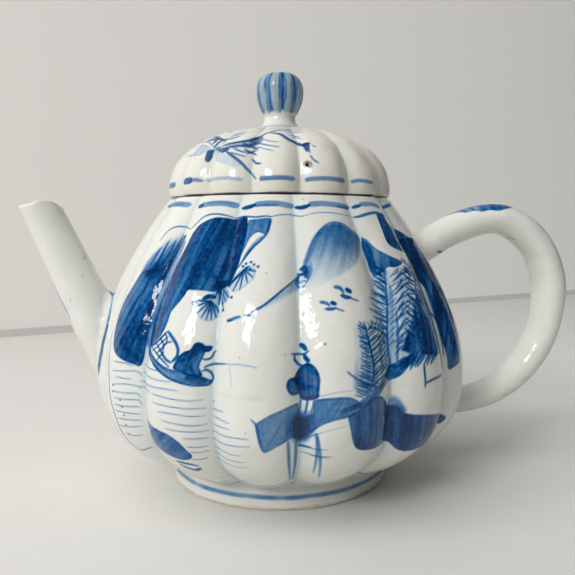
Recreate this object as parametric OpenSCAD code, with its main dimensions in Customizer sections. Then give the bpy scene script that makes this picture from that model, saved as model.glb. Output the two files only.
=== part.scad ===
// Lobed porcelain teapot with a lift-off lid, a straight spout and a loop handle.
// Millimetres. +Z is up, the spout points to -X and the handle to +X.
// The origin is the centre of the foot, on the surface that the pot stands on.
// The pot is built from the pieces a potter presses, throws or rolls, and then lutes together.

/* [Body] */
// Width of the body across opposite lobes, at the belly
belly_w = 123; // [116:1:130]
// Height of the belly, where the two pressed halves are luted together
belly_z = 40; // [36:1:46]
// Height of the flat seat that the lid stands on
mouth_z = 93; // [88:1:100]
// Width across opposite lobes at the lid's seat
mouth_w = 74; // [72:1:80]
// Thickness of the pressed wall, measured level
body_wall = 4; // [3:0.5:5]
// Thickness of the floor
floor_t = 4.5; // [3:0.5:6]

/* [Lobes] */
// Number of lobes around the body and the lid
lobes = 14; // [10:2:18]
// Depth of the valleys between lobes at the belly
lobe_depth = 4.2; // [2:0.2:5]
// Depth of the valleys at the mouth and at the foot
mouth_lobe_depth = 1; // [0.4:0.1:1.4]
// Depth of the valleys at the lid's edge
lid_lobe_depth = 2; // [0.8:0.1:2.4]
// Angle by which the valleys beside the spout give way to it
spout_lobe_spread = 6.5; // [0:0.5:8]

/* [Foot] */
// Outer width of the foot ring
foot_w = 73.4; // [66:0.2:78]
// Height of the foot ring
foot_h = 7; // [5:0.5:9]
// Width of the band that the foot stands on
foot_wall = 4.5; // [3:0.5:7]
// Lean of the foot's outer face, as the amount by which it narrows upwards
foot_lean = 0.4; // [0:0.1:1]

/* [Lid] */
// Width of the lid across opposite lobes
lid_w = 74.2; // [72:0.2:80]
// Height of the lid's widest line above its underside
lip_h = 2.6; // [2:0.2:4]
// Height of the dome from its widest line to the knob's seat
dome_h = 21.6; // [18:0.2:26]
// Thickness of the dome
lid_wall = 3.5; // [2.5:0.5:4.5]
// Gap between the lid and its seat on the mouth
lid_gap = 0.3; // [0.2:0.1:0.6]
// Diameter of the round mouth
mouth_bore_d = 62.4; // [58:0.2:64]
// Clearance around the flange in the mouth
flange_clearance = 0.8; // [0.5:0.1:1.5]
// Thickness of the flange that keeps the lid in the mouth
flange_wall = 3; // [2:0.5:4]
// Depth to which the flange reaches below the lid's underside
flange_drop = 6; // [4:0.5:10]
// Height over which the flange is luted into the lid
flange_grip = 4; // [3:0.5:5]
// Diameter of the vent pierced through the lid
vent_d = 1.5; // [1:0.1:2.5]
// Height of the vent above the lid's widest line
vent_rise = 5.6; // [3:0.2:10]
// Direction of the vent, turned from the spout past the front
vent_angle = 98; // [92:1:112]

/* [Knob] */
// Diameter of the knob's foot on the dome
knob_seat_d = 16; // [12:0.5:20]
// Diameter of the neck
neck_d = 10.3; // [8:0.1:12]
// Height of the narrowest part of the neck
neck_h = 3.9; // [2.5:0.1:5]
// Diameter of the bulb
knob_d = 16; // [13:0.5:20]
// Height of the bulb's widest line
bulb_h = 11.9; // [10:0.1:14]
// Whole height of the knob
knob_h = 17.8; // [16:0.1:22]
// Number of ribs around the bulb
knob_ribs = 10; // [8:1:14]
// Depth of the grooves between the ribs
rib_depth = 0.5; // [0.2:0.1:0.8]

/* [Spout] */
// Distance of the centre of the spout's mouth beyond the belly
spout_reach = 17.8; // [14:0.2:24]
// Drop of the spout's mouth below the lid's seat
spout_drop = 1.6; // [0:0.2:6]
// Lean of the spout away from upright
spout_lean = 24.2; // [20:0.2:30]
// Slope of the rim around the spout's mouth, down towards the outside
spout_rim_slope = 7; // [0:1:15]
// Diameter of the spout at its mouth
spout_tip_d = 12.4; // [11:0.2:15]
// Thickness of the spout near its root, along the pot's length
spout_root_d = 15.4; // [13:0.2:19]
// Width of the spout near its root, across the pot
spout_root_w = 21; // [18:0.5:26]
// Thickness of the spout's wall
spout_wall = 2.2; // [1.5:0.1:3]
// Size of the clay fillet where the spout meets the body
spout_flare = 3.2; // [1:0.2:5]
// Diameter of the strainer's holes, pierced through the body behind the spout
strainer_hole_d = 3.4; // [2:0.1:4]
// Distance between neighbouring holes of the strainer
strainer_pitch = 5; // [4.4:0.1:5.6]

/* [Handle] */
// Distance of the handle's centre line beyond the belly, where it stands out most
handle_reach = 35; // [30:0.5:44]
// Height at which the handle stands out most
handle_out_z = 60; // [54:1:66]
// Height of the centre line at the crown of the loop
handle_crown_z = 87; // [84:0.5:92]
// Distance of the crown beyond the belly
handle_crown_reach = 12.7; // [8:0.5:18]
// Height at which the handle's upper end meets the body
handle_top_z = 76; // [72:0.5:80]
// Height at which the handle's lower end meets the body
handle_low_z = 22; // [19:0.5:27]
// Thickness of the handle where it is gripped
grip_t = 12.6; // [10:0.2:15]
// Thickness of the handle between its upper end and its crown
handle_top_t = 10.8; // [9:0.2:13]
// Thickness of the handle near its lower end
handle_low_t = 8.8; // [8:0.2:12]
// Width of the handle across the pot
handle_w = 13.4; // [10:0.2:17]
// Size of the clay fillet where the handle meets the body
handle_flare = 1.8; // [1:0.2:4]

/* [Hidden] */
$fn = 96;
GLAZE = "#e9ebe8";
BARE_CLAY = "#d9cfbb";
PAINTED_GLAZE = "#8ea9cf";

belly_r = belly_w / 2;
mouth_r = mouth_w / 2;
foot_r = foot_w / 2;
mouth_bore_r = mouth_bore_d / 2;
flange_r = mouth_bore_r - flange_clearance;
flange_inner_r = flange_r - flange_wall;
lid_z = mouth_z + lid_gap;
lip_z = lid_z + lip_h;
lip_r = lid_w / 2;
knob_seat_r = knob_seat_d / 2;
knob_seat_z = lip_z + dome_h;

// Shape of the curves, as powers: the higher, the squarer the curve
LOWER_CURVE = 3.15;
UPPER_CURVE = 1.63;
LOBE_CURVE = 2.2;
DEPTH_CURVE = 0.75;
DOME_CURVE = 2.2;
BULB_CURVE = 2.5;
LID_DEPTH_CURVE = 0.6;
// Clay left to trim at the mouth, and how far outside the clay a piercing tool starts
TRIM = 1;
// Facets along one lobe, and rings along each surface
LOBE_STEPS = 10;
OUTER_RINGS = 11;
INNER_RINGS = 5;

function mix(a, b, t) = a + (b - a) * t;
function shares(n) = [for (i = [0 : n]) i / n];

// --- Lobed rings -------------------------------------------------------------------------

// Valley k lies after lobe k. Angles are counted from the spout, through the front.
function valley_angle(k) =
    let (even = (k + 0.5) * 360 / lobes)
    even + spout_lobe_spread * sign(sin(even)) * max(0, cos(even));

// Every point around a ring as [angle, place across its lobe from -1 to 1]
RING = [for (k = [0 : lobes - 1]) for (i = [0 : LOBE_STEPS - 1])
    [mix(valley_angle(k - 1), valley_angle(k), i / LOBE_STEPS), 2 * i / LOBE_STEPS - 1]];

function valley_share(place) = pow(abs(place), LOBE_CURVE);
function at(angle, r, z) = [-r * cos(angle), -r * sin(angle), z];
function lobed_ring(r, depth, z) = [for (p = RING) at(p[0], r - depth * valley_share(p[1]), z)];

// Faces of a skin over rings of equal length. Open skins get flat ends.
function skin_faces(count, n, closed) = concat(
    [for (k = [0 : count - (closed ? 1 : 2)]) for (i = [0 : n - 1])
        let (j = (i + 1) % n, a = k * n, b = ((k + 1) % count) * n)
        each [[a + i, b + j, a + j], [a + i, b + i, b + j]]],
    closed ? [] : [[for (i = [0 : n - 1]) i], [for (i = [n - 1 : -1 : 0]) (count - 1) * n + i]]);

module skin(rings, closed = false) {
    polyhedron(points = [for (r = rings) each r],
        faces = skin_faces(len(rings), len(rings[0]), closed), convexity = 10);
}

// --- Body --------------------------------------------------------------------------------

// Radius over the top of the lobes at height z
function crest_r(z) = z < belly_z
    ? mix(foot_r, belly_r, 1 - pow((belly_z - z) / (belly_z - foot_h), LOWER_CURVE))
    : mix(belly_r, mouth_r, pow((z - belly_z) / (mouth_z - belly_z), UPPER_CURVE));

function fullness(z) = max(0, crest_r(z) - mouth_r) / (belly_r - mouth_r);
function depth_at(z) = mix(mouth_lobe_depth, lobe_depth, pow(fullness(z), DEPTH_CURVE));
function outer_ring(z) = lobed_ring(crest_r(z), depth_at(z), z);
function inner_ring(z) = lobed_ring(crest_r(z) - body_wall, depth_at(z), z);

// Heights of the rings, closer together near the foot, where the curve is tight
LOWER_Z = [for (t = shares(OUTER_RINGS)) mix(foot_h, belly_z, pow(t, 1.5))];
UPPER_Z = [for (t = shares(OUTER_RINGS)) mix(belly_z, mouth_z, t)];
floor_z = foot_h + floor_t;
seat_under_z = mouth_z - body_wall;
LOWER_INNER_Z = [for (t = shares(INNER_RINGS)) mix(belly_z, floor_z, 1 - pow(1 - t, 1.5))];
UPPER_INNER_Z = [for (t = shares(INNER_RINGS)) mix(seat_under_z, belly_z, t)];

// How far a root swells into its fillet at point p, from how near p is to the body
function growth(p, fillet) =
    let (gap = max(0, norm([p[0], p[1]]) - crest_r(p[2])))
    fillet * pow(max(0, 1 - gap / (2 * fillet)), 2);

module body_lower() {
    color(GLAZE)
    skin(concat([for (z = LOWER_Z) outer_ring(z)], [for (z = LOWER_INNER_Z) inner_ring(z)]));
}

// The seat is pressed a little too narrow, and its mouth is then cut round.
module body_upper_blank() {
    pressed_mouth_r = mouth_bore_r - TRIM;
    skin(concat(
        [for (z = UPPER_Z) outer_ring(z)],
        [lobed_ring(pressed_mouth_r, 0, mouth_z), lobed_ring(pressed_mouth_r, 0, seat_under_z)],
        [for (z = UPPER_INNER_Z) inner_ring(z)]), closed = true);
}

module body_upper() {
    color(GLAZE)
    difference() {
        body_upper_blank();
        translate([0, 0, seat_under_z - body_wall])
            cylinder(r = mouth_bore_r, h = 3 * body_wall);
        strainer_holes();
    }
}

// The body's outer form without its hollow: what the spout and the handle are luted onto
module body_form() {
    skin([for (z = concat(LOWER_Z, [for (i = [1 : OUTER_RINGS]) UPPER_Z[i]])) outer_ring(z)]);
}

module foot_ring() {
    color(GLAZE)
    rotate_extrude()
        polygon([[foot_r - foot_wall, 0], [foot_r, 0], [foot_r - foot_lean, foot_h],
            [foot_r - foot_wall, foot_h]]);
}

// --- Spout -------------------------------------------------------------------------------

SPOUT_SIDES = 28;
SPOUT_RINGS = 12;
spout_tip = [-belly_r - spout_reach, 0, mouth_z - spout_drop];
spout_down = [sin(spout_lean), 0, -cos(spout_lean)];
spout_inward = [cos(spout_lean), 0, sin(spout_lean)];
// The spout reaches its root width where its centre line comes to the belly's line
spout_root_s = spout_reach / sin(spout_lean);
spout_cut_s = spout_root_s + spout_root_d;
spout_root_z = spout_tip[2] - spout_root_s * cos(spout_lean);

// One ring of the tube, inset from the outer face. The first ring lies in the sloping rim.
// The fillet is fullest in the crotch above the tube and fades out below it.
function spout_ring(t, inset) = [for (i = [0 : SPOUT_SIDES - 1])
    let (a = -i * 360 / SPOUT_SIDES,
        rim_s = spout_tip_d / 2 * cos(a) * tan(spout_lean - spout_rim_slope),
        s = mix(rim_s, spout_cut_s, t),
        share = max(0, min(1, s / spout_root_s)),
        half_d = mix(spout_tip_d, spout_root_d, share) / 2 - inset,
        half_w = mix(spout_tip_d, spout_root_w, pow(share, 2)) / 2 - inset,
        side = spout_inward * half_d * cos(a) + [0, half_w * sin(a), 0],
        plain = spout_tip + spout_down * s + side,
        fillet = inset > 0 ? 0 : growth(plain, spout_flare) * (1 + cos(a)) / 2)
    plain + side / norm(side) * fillet];

module spout() {
    color(GLAZE)
    difference() {
        skin(concat(
            [for (t = shares(SPOUT_RINGS)) spout_ring(t, 0)],
            [for (t = shares(SPOUT_RINGS)) spout_ring(1 - t, spout_wall)]), closed = true);
        body_form();
    }
}

// A hexagon of holes around a middle one, pierced level through the wall
module strainer_holes() {
    hexagon = [for (a = [30 : 60 : 330]) strainer_pitch * [cos(a), sin(a)]];
    for (p = concat([[0, 0]], hexagon))
        translate([-belly_r - TRIM, p[0], spout_root_z + p[1]])
            rotate([0, 90, 0]) cylinder(d = strainer_hole_d, h = 5 * body_wall, $fn = 24);
}

// --- Handle ------------------------------------------------------------------------------

HANDLE_SIDES = 20;
HANDLE_SPAN_STEPS = 3;
crown_r = belly_r + handle_crown_reach;
out_r = belly_r + handle_reach;
top_root_r = crest_r(handle_top_z);
low_root_r = crest_r(handle_low_z);
ROOT_SINK = 5;
ROOT_SLOPE = 0.6;
// Centre line as [distance from the axis, height, thickness], from the upper end to the lower:
// a rising arm, a quarter of an ellipse out from the crown, and another down to the lower end
HANDLE_LINE = concat(
    [[top_root_r - ROOT_SINK, handle_top_z - ROOT_SINK * ROOT_SLOPE, handle_top_t],
        [top_root_r, handle_top_z, handle_top_t],
        [mix(top_root_r, crown_r, 0.48), mix(handle_top_z, handle_crown_z, 0.65), handle_top_t]],
    [for (a = [0 : 22.5 : 90])
        [mix(crown_r, out_r, sin(a)), mix(handle_out_z, handle_crown_z, cos(a)),
            mix(handle_top_t, grip_t, sin(a))]],
    [for (a = [22.5 : 22.5 : 90])
        [mix(belly_r, out_r, cos(a)), mix(handle_out_z, handle_low_z, sin(a)),
            mix(grip_t, handle_low_t, pow(sin(a), 2))]],
    [[low_root_r - ROOT_SINK, handle_low_z, handle_low_t]]);

// Point on a smooth curve through points, with t counted in points
function smooth(points, t) =
    let (n = len(points), i = min(n - 2, floor(t)), f = t - i,
        a = points[max(0, i - 1)], b = points[i], c = points[i + 1], d = points[min(n - 1, i + 2)])
    0.5 * ((2 * b) + (c - a) * f + (2 * a - 5 * b + 4 * c - d) * f * f + (3 * b - a - 3 * c + d) * f * f * f);

function handle_ring(t) =
    let (p = smooth(HANDLE_LINE, t),
        ahead = smooth(HANDLE_LINE, min(len(HANDLE_LINE) - 1, t + 0.05)),
        behind = smooth(HANDLE_LINE, max(0, t - 0.05)),
        run = [ahead[0] - behind[0], ahead[1] - behind[1]],
        out = [-run[1], 0, run[0]] / norm(run))
    [for (i = [0 : HANDLE_SIDES - 1])
        let (a = -i * 360 / HANDLE_SIDES,
            side = out * p[2] / 2 * cos(a) + [0, handle_w / 2 * sin(a), 0],
            plain = [p[0], 0, p[1]] + side)
        plain + side / norm(side) * growth(plain, handle_flare)];

module handle() {
    color(GLAZE)
    difference() {
        steps = (len(HANDLE_LINE) - 1) * HANDLE_SPAN_STEPS;
        skin([for (i = [0 : steps]) handle_ring(i / HANDLE_SPAN_STEPS)]);
        body_form();
    }
}

// --- Lid ---------------------------------------------------------------------------------

DOME_RINGS = 9;
// Rings of a dome from its foot, of radius foot_r, up to a flat round top
function dome_rings(foot_r, top_r, low_z, height, depth) =
    let (end = acos(pow(top_r / foot_r, DOME_CURVE / 2)))
    [for (t = shares(DOME_RINGS))
        let (r = foot_r * pow(cos(end * t), 2 / DOME_CURVE),
            share = pow(max(0, r - top_r) / (foot_r - top_r), LID_DEPTH_CURVE))
        lobed_ring(r, depth * share, low_z + height * sin(end * t) / sin(end))];

module lid_dome_blank() {
    inner_rise_z = lid_z + flange_grip;
    inner_h = knob_seat_z - lid_wall - inner_rise_z;
    outer = dome_rings(lip_r, knob_seat_r, lip_z, dome_h, lid_lobe_depth);
    inner = dome_rings(flange_inner_r, knob_seat_r, inner_rise_z, inner_h, 0);
    skin(concat(
        [for (i = [DOME_RINGS : -1 : 0]) inner[i]],
        [lobed_ring(flange_inner_r, 0, lid_z),
            lobed_ring(lip_r - lip_h * 0.6, lid_lobe_depth * 0.8, lid_z),
            lobed_ring(lip_r - lip_h * 0.2, lid_lobe_depth * 0.9, lid_z + lip_h * 0.35)],
        outer));
}

module lid_dome() {
    color(GLAZE)
    difference() {
        lid_dome_blank();
        translate([0, 0, lid_z - flange_grip])
            cylinder(r = flange_r, h = 2 * flange_grip);
        translate(at(vent_angle, lip_r + TRIM, lip_z + vent_rise))
            rotate([0, 90, vent_angle])
            cylinder(d = vent_d, h = lip_r, $fn = 24);
    }
}

module lid_flange() {
    color(BARE_CLAY)
    translate([0, 0, lid_z - flange_drop])
    rotate_extrude()
        translate([flange_inner_r, 0])
        square([flange_wall, flange_drop + flange_grip]);
}

// --- Knob --------------------------------------------------------------------------------

RIB_STEPS = 6;
// Radius of the knob at height h above its seat: a flare, an S-curve and a crown
function knob_r(h) =
    h < neck_h ? mix(neck_d, knob_seat_d, pow(1 - h / neck_h, 2.2)) / 2
    : h < bulb_h ? mix(neck_d, knob_d, (1 - cos(180 * (h - neck_h) / (bulb_h - neck_h))) / 2) / 2
    : knob_d / 2 * pow(max(0, 1 - pow((h - bulb_h) / (knob_h - bulb_h), BULB_CURVE)), 1 / BULB_CURVE);

function knob_ring(h) =
    let (rib_share = max(0, sin(180 * (h - neck_h) / (knob_h - neck_h))), n = knob_ribs * RIB_STEPS)
    [for (i = [0 : n - 1])
        at(i * 360 / n, knob_r(h) - rib_depth * rib_share * (1 - cos(i * 360 / RIB_STEPS)) / 2,
            knob_seat_z + h)];

module lid_knob() {
    color(PAINTED_GLAZE)
    skin(concat(
        [for (t = shares(4)) knob_ring(neck_h * t)],
        [for (i = [1 : 6]) knob_ring(mix(neck_h, bulb_h, i / 6))],
        [for (i = [1 : 6]) knob_ring(mix(bulb_h, knob_h, sin(90 * i / 6.3)))]));
}

body_lower();
body_upper();
foot_ring();
spout();
handle();
lid_dome();
lid_flange();
lid_knob();
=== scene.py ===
"""Lobed porcelain teapot, painted in cobalt blue under a clear glaze, built around its CAD frame.

The shaping and painting code counts in millimetres and degrees, and a mesh is turned into metres
when it is made. +Z is up, the spout points to -X, the handle to +X and the painted front to -Y.
Angles around the pot are counted from the spout, through the front at 90, to the handle at 180.
"""

import math
from collections import namedtuple

import bmesh
import bpy
import numpy as np
from mathutils import Matrix, Vector


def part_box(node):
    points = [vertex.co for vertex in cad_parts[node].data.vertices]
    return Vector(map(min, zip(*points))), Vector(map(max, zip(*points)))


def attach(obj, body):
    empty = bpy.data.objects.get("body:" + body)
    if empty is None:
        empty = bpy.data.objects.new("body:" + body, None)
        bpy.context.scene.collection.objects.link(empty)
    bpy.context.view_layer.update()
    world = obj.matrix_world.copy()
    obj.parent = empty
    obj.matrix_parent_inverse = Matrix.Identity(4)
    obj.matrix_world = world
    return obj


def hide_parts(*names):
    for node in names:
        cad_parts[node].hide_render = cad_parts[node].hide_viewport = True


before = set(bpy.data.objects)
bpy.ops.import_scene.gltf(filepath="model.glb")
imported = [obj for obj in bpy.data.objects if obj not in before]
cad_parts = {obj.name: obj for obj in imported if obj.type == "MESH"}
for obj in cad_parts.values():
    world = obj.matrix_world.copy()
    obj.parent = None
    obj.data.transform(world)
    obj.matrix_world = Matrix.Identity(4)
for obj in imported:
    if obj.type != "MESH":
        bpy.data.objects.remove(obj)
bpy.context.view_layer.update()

bl_info = {
    "name": "Lobed Porcelain Teapot",
    "version": (1, 0, 0),
    "blender": (4, 5, 0),
    "location": "View3D > Sidebar > Teapot",
    "description": "Builds a lobed teapot painted with a river landscape, piece by piece",
    "category": "Add Mesh",
}

MM = 0.001


def high(node, axis):
    """Highest coordinate of a frame node along an axis, in millimetres."""
    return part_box(node)[1][axis] / MM


# --- Settings ---


class TEAPOT_PG_sizes(bpy.types.PropertyGroup):
    """Sizes of the pressed and thrown pieces"""

    belly_width: bpy.props.FloatProperty(
        name="Belly Width", description="Width of the body across opposite lobes",
        default=2 * high("body_lower", 0) * MM, unit="LENGTH"
    )
    belly_height: bpy.props.FloatProperty(
        name="Belly Height", description="Height of the seam where the two pressed halves meet",
        default=high("body_lower", 2) * MM, unit="LENGTH"
    )
    seat_height: bpy.props.FloatProperty(
        name="Seat Height", description="Height of the seat that the lid stands on",
        default=high("body_upper", 2) * MM, unit="LENGTH"
    )
    seat_width: bpy.props.FloatProperty(
        name="Seat Width", description="Width across the lid's seat", default=0.074, unit="LENGTH"
    )
    foot_width: bpy.props.FloatProperty(
        name="Foot Width", description="Outer width of the foot ring",
        default=2 * high("foot_ring", 0) * MM, unit="LENGTH"
    )
    foot_height: bpy.props.FloatProperty(
        name="Foot Height", description="Height of the foot ring", default=high("foot_ring", 2) * MM,
        unit="LENGTH"
    )
    lid_width: bpy.props.FloatProperty(
        name="Lid Width", description="Width of the lid across opposite lobes",
        default=2 * high("lid_dome", 0) * MM, unit="LENGTH"
    )
    mesh_step: bpy.props.FloatProperty(
        name="Mesh Step", description="Distance between the vertices that carry the painting",
        default=0.00031, min=0.0002, max=0.002, unit="LENGTH"
    )


class TEAPOT_PG_decoration(bpy.types.PropertyGroup):
    """Colours of the glaze, the cobalt and the bare clay"""

    glaze: bpy.props.FloatVectorProperty(
        name="Glaze", description="Colour of the clear glaze over white porcelain",
        default=(0.765, 0.765, 0.725), subtype="COLOR", min=0, max=1
    )
    # Also the colour of painted shade in the valleys, the joints and under the lobes
    pooled_glaze_and_shade: bpy.props.FloatVectorProperty(
        name="Pooled Glaze", description="Colour of the glaze where it runs together in the valleys",
        default=(0.61, 0.66, 0.645), subtype="COLOR", min=0, max=1
    )
    bare_clay: bpy.props.FloatVectorProperty(
        name="Bare Clay", description="Colour of the rims that were wiped free of glaze",
        default=(0.78, 0.69, 0.51), subtype="COLOR", min=0, max=1
    )
    # Also the colour of dark lines of painted shade at the lid's gap and over the foot
    iron: bpy.props.FloatVectorProperty(
        name="Iron", description="Colour of the specks that iron leaves in the glaze",
        default=(0.13, 0.034, 0.016), subtype="COLOR", min=0, max=1
    )
    cobalt_strength: bpy.props.FloatProperty(
        name="Cobalt Strength", description="Strength of the painting, 0 for a plain white pot",
        default=1.0, min=0, max=1.2, subtype="FACTOR"
    )
    gloss_roughness: bpy.props.FloatProperty(
        name="Glaze Roughness", description="Roughness of the glazed surface", default=0.06, min=0.02,
        max=0.5, subtype="FACTOR"
    )


class TEAPOT_PG_stage(bpy.types.PropertyGroup):
    """The table, the light and the camera around the pot"""

    table_colour: bpy.props.FloatVectorProperty(
        name="Table", description="Colour of the table", default=(0.765, 0.757, 0.73), subtype="COLOR"
    )
    wall_colour: bpy.props.FloatVectorProperty(
        name="Wall", description="Colour of the wall", default=(0.60, 0.59, 0.56), subtype="COLOR"
    )
    window_power: bpy.props.FloatProperty(
        name="Window Light", description="Power of the wide pane", default=8.8, unit="POWER"
    )
    focal_length: bpy.props.FloatProperty(
        name="Focal Length", description="Focal length of the camera", default=39.5, unit="CAMERA"
    )


# --- Shape of the pot, in millimetres ---

LOBES = 14
# The lobes at the back take this share of the steps across a lobe at the front
BACK_STEPS = 0.65
LOBE_DEPTH = 4.2
MOUTH_LOBE_DEPTH = 1.0
LID_LOBE_DEPTH = 2.7
SPOUT_LOBE_SPREAD = 6.5
# Extra depth with which the valleys end at the foot, and the height at which it starts
SCALLOP_DEPTH = 2.6
SCALLOP_TOP = 21.0
SCALLOP_CURVE = 1.2
# The clay round the top of the foot, outwards of it and upwards from it
FOOT_FLARE = np.array([(-0.15, -0.1), (0.1, 0.7), (0.45, 1.3), (0.4, 1.7), (-0.2, 2.0)])
BODY_WALL = 4.0
FLOOR = 4.5
MOUTH_BORE_R = 31.2
FOOT_WALL = 4.5
LID_GAP = 0.3
LIP_HEIGHT = 2.6
LIP_INSET = 0.9
LID_WALL = 3.5
FLANGE_WALL = 3.0
FLANGE_DROP = 6.0
FLANGE_GRIP = 4.0
FLANGE_R = MOUTH_BORE_R - 0.8
FLANGE_EDGE = 0.8

# Shape of the curves, as powers: the higher, the squarer the curve
LOWER_CURVE = 3.15
UPPER_CURVE = 1.63
LOBE_CURVE = 2.2
DEPTH_CURVE = 0.75
DOME_CURVE = 2.76
BULB_CURVE = 2.5
LID_DEPTH_CURVE = 0.6
# Share of half a lobe over which the glaze rounds the bottom of a valley
VALLEY_SOFTNESS = 0.04
# How finely a curve is measured, and how far from a point its surface is felt out
CURVE_SAMPLES = 2000
PROBE_STEP = 0.05
# Faces that meet at more than this are shaded with an edge between them
SHARP_ANGLE = math.radians(40)
DRILL_SIDES = 32


def mix(a, b, t):
    return a + (b - a) * t


def pairs(numbers):
    """Points of two numbers each."""
    return np.reshape(np.asarray(numbers, float), (-1, 2))


def unit(vectors):
    return vectors / np.linalg.norm(vectors, axis=-1, keepdims=True)


def bell(distance, spread, power=2):
    """1 at no distance, and less and less beyond the spread."""
    return np.exp(-((distance / spread) ** power))


def climb(height, over):
    """0 below no height, 1 from the height over on, and even between."""
    return np.clip(height / over, 0, 1)


def valley_angle(k):
    """Angle of the valley after lobe k. The valleys beside the spout give way to it."""
    even = (np.asarray(k) + 0.5) * 360 / LOBES
    turn = np.radians(even)
    return even + SPOUT_LOBE_SPREAD * np.sign(np.sin(turn)) * np.maximum(0, np.cos(turn))


VALLEYS = valley_angle(np.arange(-LOBES, LOBES + 1))
FIRST_LOBE = -LOBES // 2 + 1


def valley_share(place):
    """How much of the valley's depth is reached at a place across a lobe, from -1 to 1."""
    near = 1 - np.hypot(1 - np.abs(place), VALLEY_SOFTNESS) + VALLEY_SOFTNESS**2 / 2
    return np.clip(near, 0, 1) ** LOBE_CURVE


def place_across(angle):
    """Place across its lobe, from -1 to 1, of an angle around the pot."""
    after = np.clip(np.searchsorted(VALLEYS, angle), 1, len(VALLEYS) - 1)
    return 2 * (angle - VALLEYS[after - 1]) / (VALLEYS[after] - VALLEYS[after - 1]) - 1


def lobe_angles(fine):
    """Angles once around the pot, with more steps across the lobes of the front."""
    coarse = round(fine * BACK_STEPS)
    angles = []
    for k in range(FIRST_LOBE, FIRST_LOBE + LOBES):
        start, end = valley_angle(k - 1), valley_angle(k)
        steps = fine if 0 < (start + end) / 2 < 180 else coarse
        angles.append(start + (end - start) * np.arange(steps) / steps)
    return np.concatenate(angles)


def at(angle, radius, height):
    """Points at an angle, a radius and a height."""
    turn, radius, height = np.broadcast_arrays(np.radians(angle), radius, height)
    return np.stack([-radius * np.cos(turn), -radius * np.sin(turn), height], axis=-1)


def polar(points):
    """Angle around the pot, and radius, of points."""
    angle = np.degrees(np.arctan2(-points[..., 1], -points[..., 0]))
    return angle, np.hypot(points[..., 0], points[..., 1])


def even_steps(curve, step, start, end):
    """Values from start to end at which curve, a path of (radius, height), has even steps."""
    fine = np.linspace(start, end, CURVE_SAMPLES)
    path = np.stack(curve(fine), axis=-1)
    runs = np.concatenate([[0], np.cumsum(np.linalg.norm(np.diff(path, axis=0), axis=1))])
    count = max(4, round(runs[-1] / step))
    return np.interp(np.linspace(0, runs[-1], count + 1), runs, fine)


class Body:
    """The body's outer form: a round curve from foot to mouth, gathered into lobes."""

    def __init__(self, sizes):
        self.belly_r = sizes.belly_width / 2 / MM
        self.belly_z = sizes.belly_height / MM
        self.mouth_r = sizes.seat_width / 2 / MM
        self.mouth_z = sizes.seat_height / MM
        self.foot_r = sizes.foot_width / 2 / MM
        self.foot_z = sizes.foot_height / MM

    def crest(self, height):
        """Radius over the top of the lobes."""
        below = np.clip((self.belly_z - height) / (self.belly_z - self.foot_z), 0, 1)
        above = np.clip((height - self.belly_z) / (self.mouth_z - self.belly_z), 0, 1)
        low_r = mix(self.belly_r, self.foot_r, below**LOWER_CURVE)
        high_r = mix(self.belly_r, self.mouth_r, above**UPPER_CURVE)
        return np.where(height < self.belly_z, low_r, high_r)

    def depth(self, height):
        """Depth of the valleys between the lobes."""
        fullness = np.maximum(0, self.crest(height) - self.mouth_r) / (self.belly_r - self.mouth_r)
        low_share = np.clip((SCALLOP_TOP - height) / (SCALLOP_TOP - self.foot_z), 0, 1)
        scallop = SCALLOP_DEPTH * low_share**SCALLOP_CURVE
        return mix(MOUTH_LOBE_DEPTH, LOBE_DEPTH, fullness**DEPTH_CURVE) + scallop

    def radius(self, angle, height):
        return self.crest(height) - self.depth(height) * valley_share(place_across(angle))

    def gap(self, points):
        """Distance of points outside the body, measured level."""
        angle, radius = polar(points)
        return radius - self.radius(angle, points[..., 2])

    def normal(self, points):
        """Outward direction of the body's surface near points."""
        steps = PROBE_STEP * np.eye(3)
        slopes = [self.gap(points + step) - self.gap(points - step) for step in steps]
        return unit(np.stack(slopes, axis=-1))


# --- Meshes ---


def skin(name, rows, values=None, first_row=0, closed=False):
    """A mesh object over rows of points, in millimetres, that run around a piece.

    The rows join up at both ends if closed is set, and otherwise each end is drawn together in
    one point. values holds shares by attribute name, for the rows from first_row on.
    """
    points = np.stack(rows)
    count, width = points.shape[:2]
    across = np.arange(width)
    beside = np.roll(across, -1)
    first = (np.arange(count if closed else count - 1) * width)[:, None]
    after = (first + width) % (count * width)
    quads = np.stack([first + across, first + beside, after + beside, after + across], axis=-1)
    quads = quads.reshape(-1, 4)
    flat = points.reshape(-1, 3)
    a, b, c, d = (flat[quads[:, corner]] for corner in range(4))
    if (a * (np.cross(b, c) + np.cross(c, d))).sum() < 0:
        across, beside = beside, across
        quads = quads[:, ::-1]
    faces = quads.tolist()
    if not closed:
        flat = np.concatenate([flat, [points[0].mean(0)], [points[-1].mean(0)]])
        last = (count - 1) * width
        start, end = count * width, count * width + 1
        faces += np.stack([beside, across, 0 * across + start], axis=-1).tolist()
        faces += np.stack([last + across, last + beside, 0 * across + end], axis=-1).tolist()
    mesh = bpy.data.meshes.new(name)
    mesh.from_pydata((flat * MM).tolist(), [], faces)
    for attribute, shares in (values or {}).items():
        padded = np.zeros(len(flat), np.float32)
        padded[first_row * width : first_row * width + shares.size] = shares.ravel()
        layer = mesh.attributes.new(attribute, "FLOAT", "POINT")
        layer.data.foreach_set("value", padded)
    mesh.shade_smooth()
    mesh.set_sharp_from_angle(angle=SHARP_ANGLE)
    piece = bpy.data.objects.new(name, mesh)
    bpy.context.scene.collection.objects.link(piece)
    return piece


def dress(piece, body, slot, material, *nodes):
    """Gives a piece its material, parents it to the body it moves with and hides the nodes it stands for.
    """
    piece.data.materials.append(material)
    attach(piece, body)
    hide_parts(*nodes)
    return piece


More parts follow.
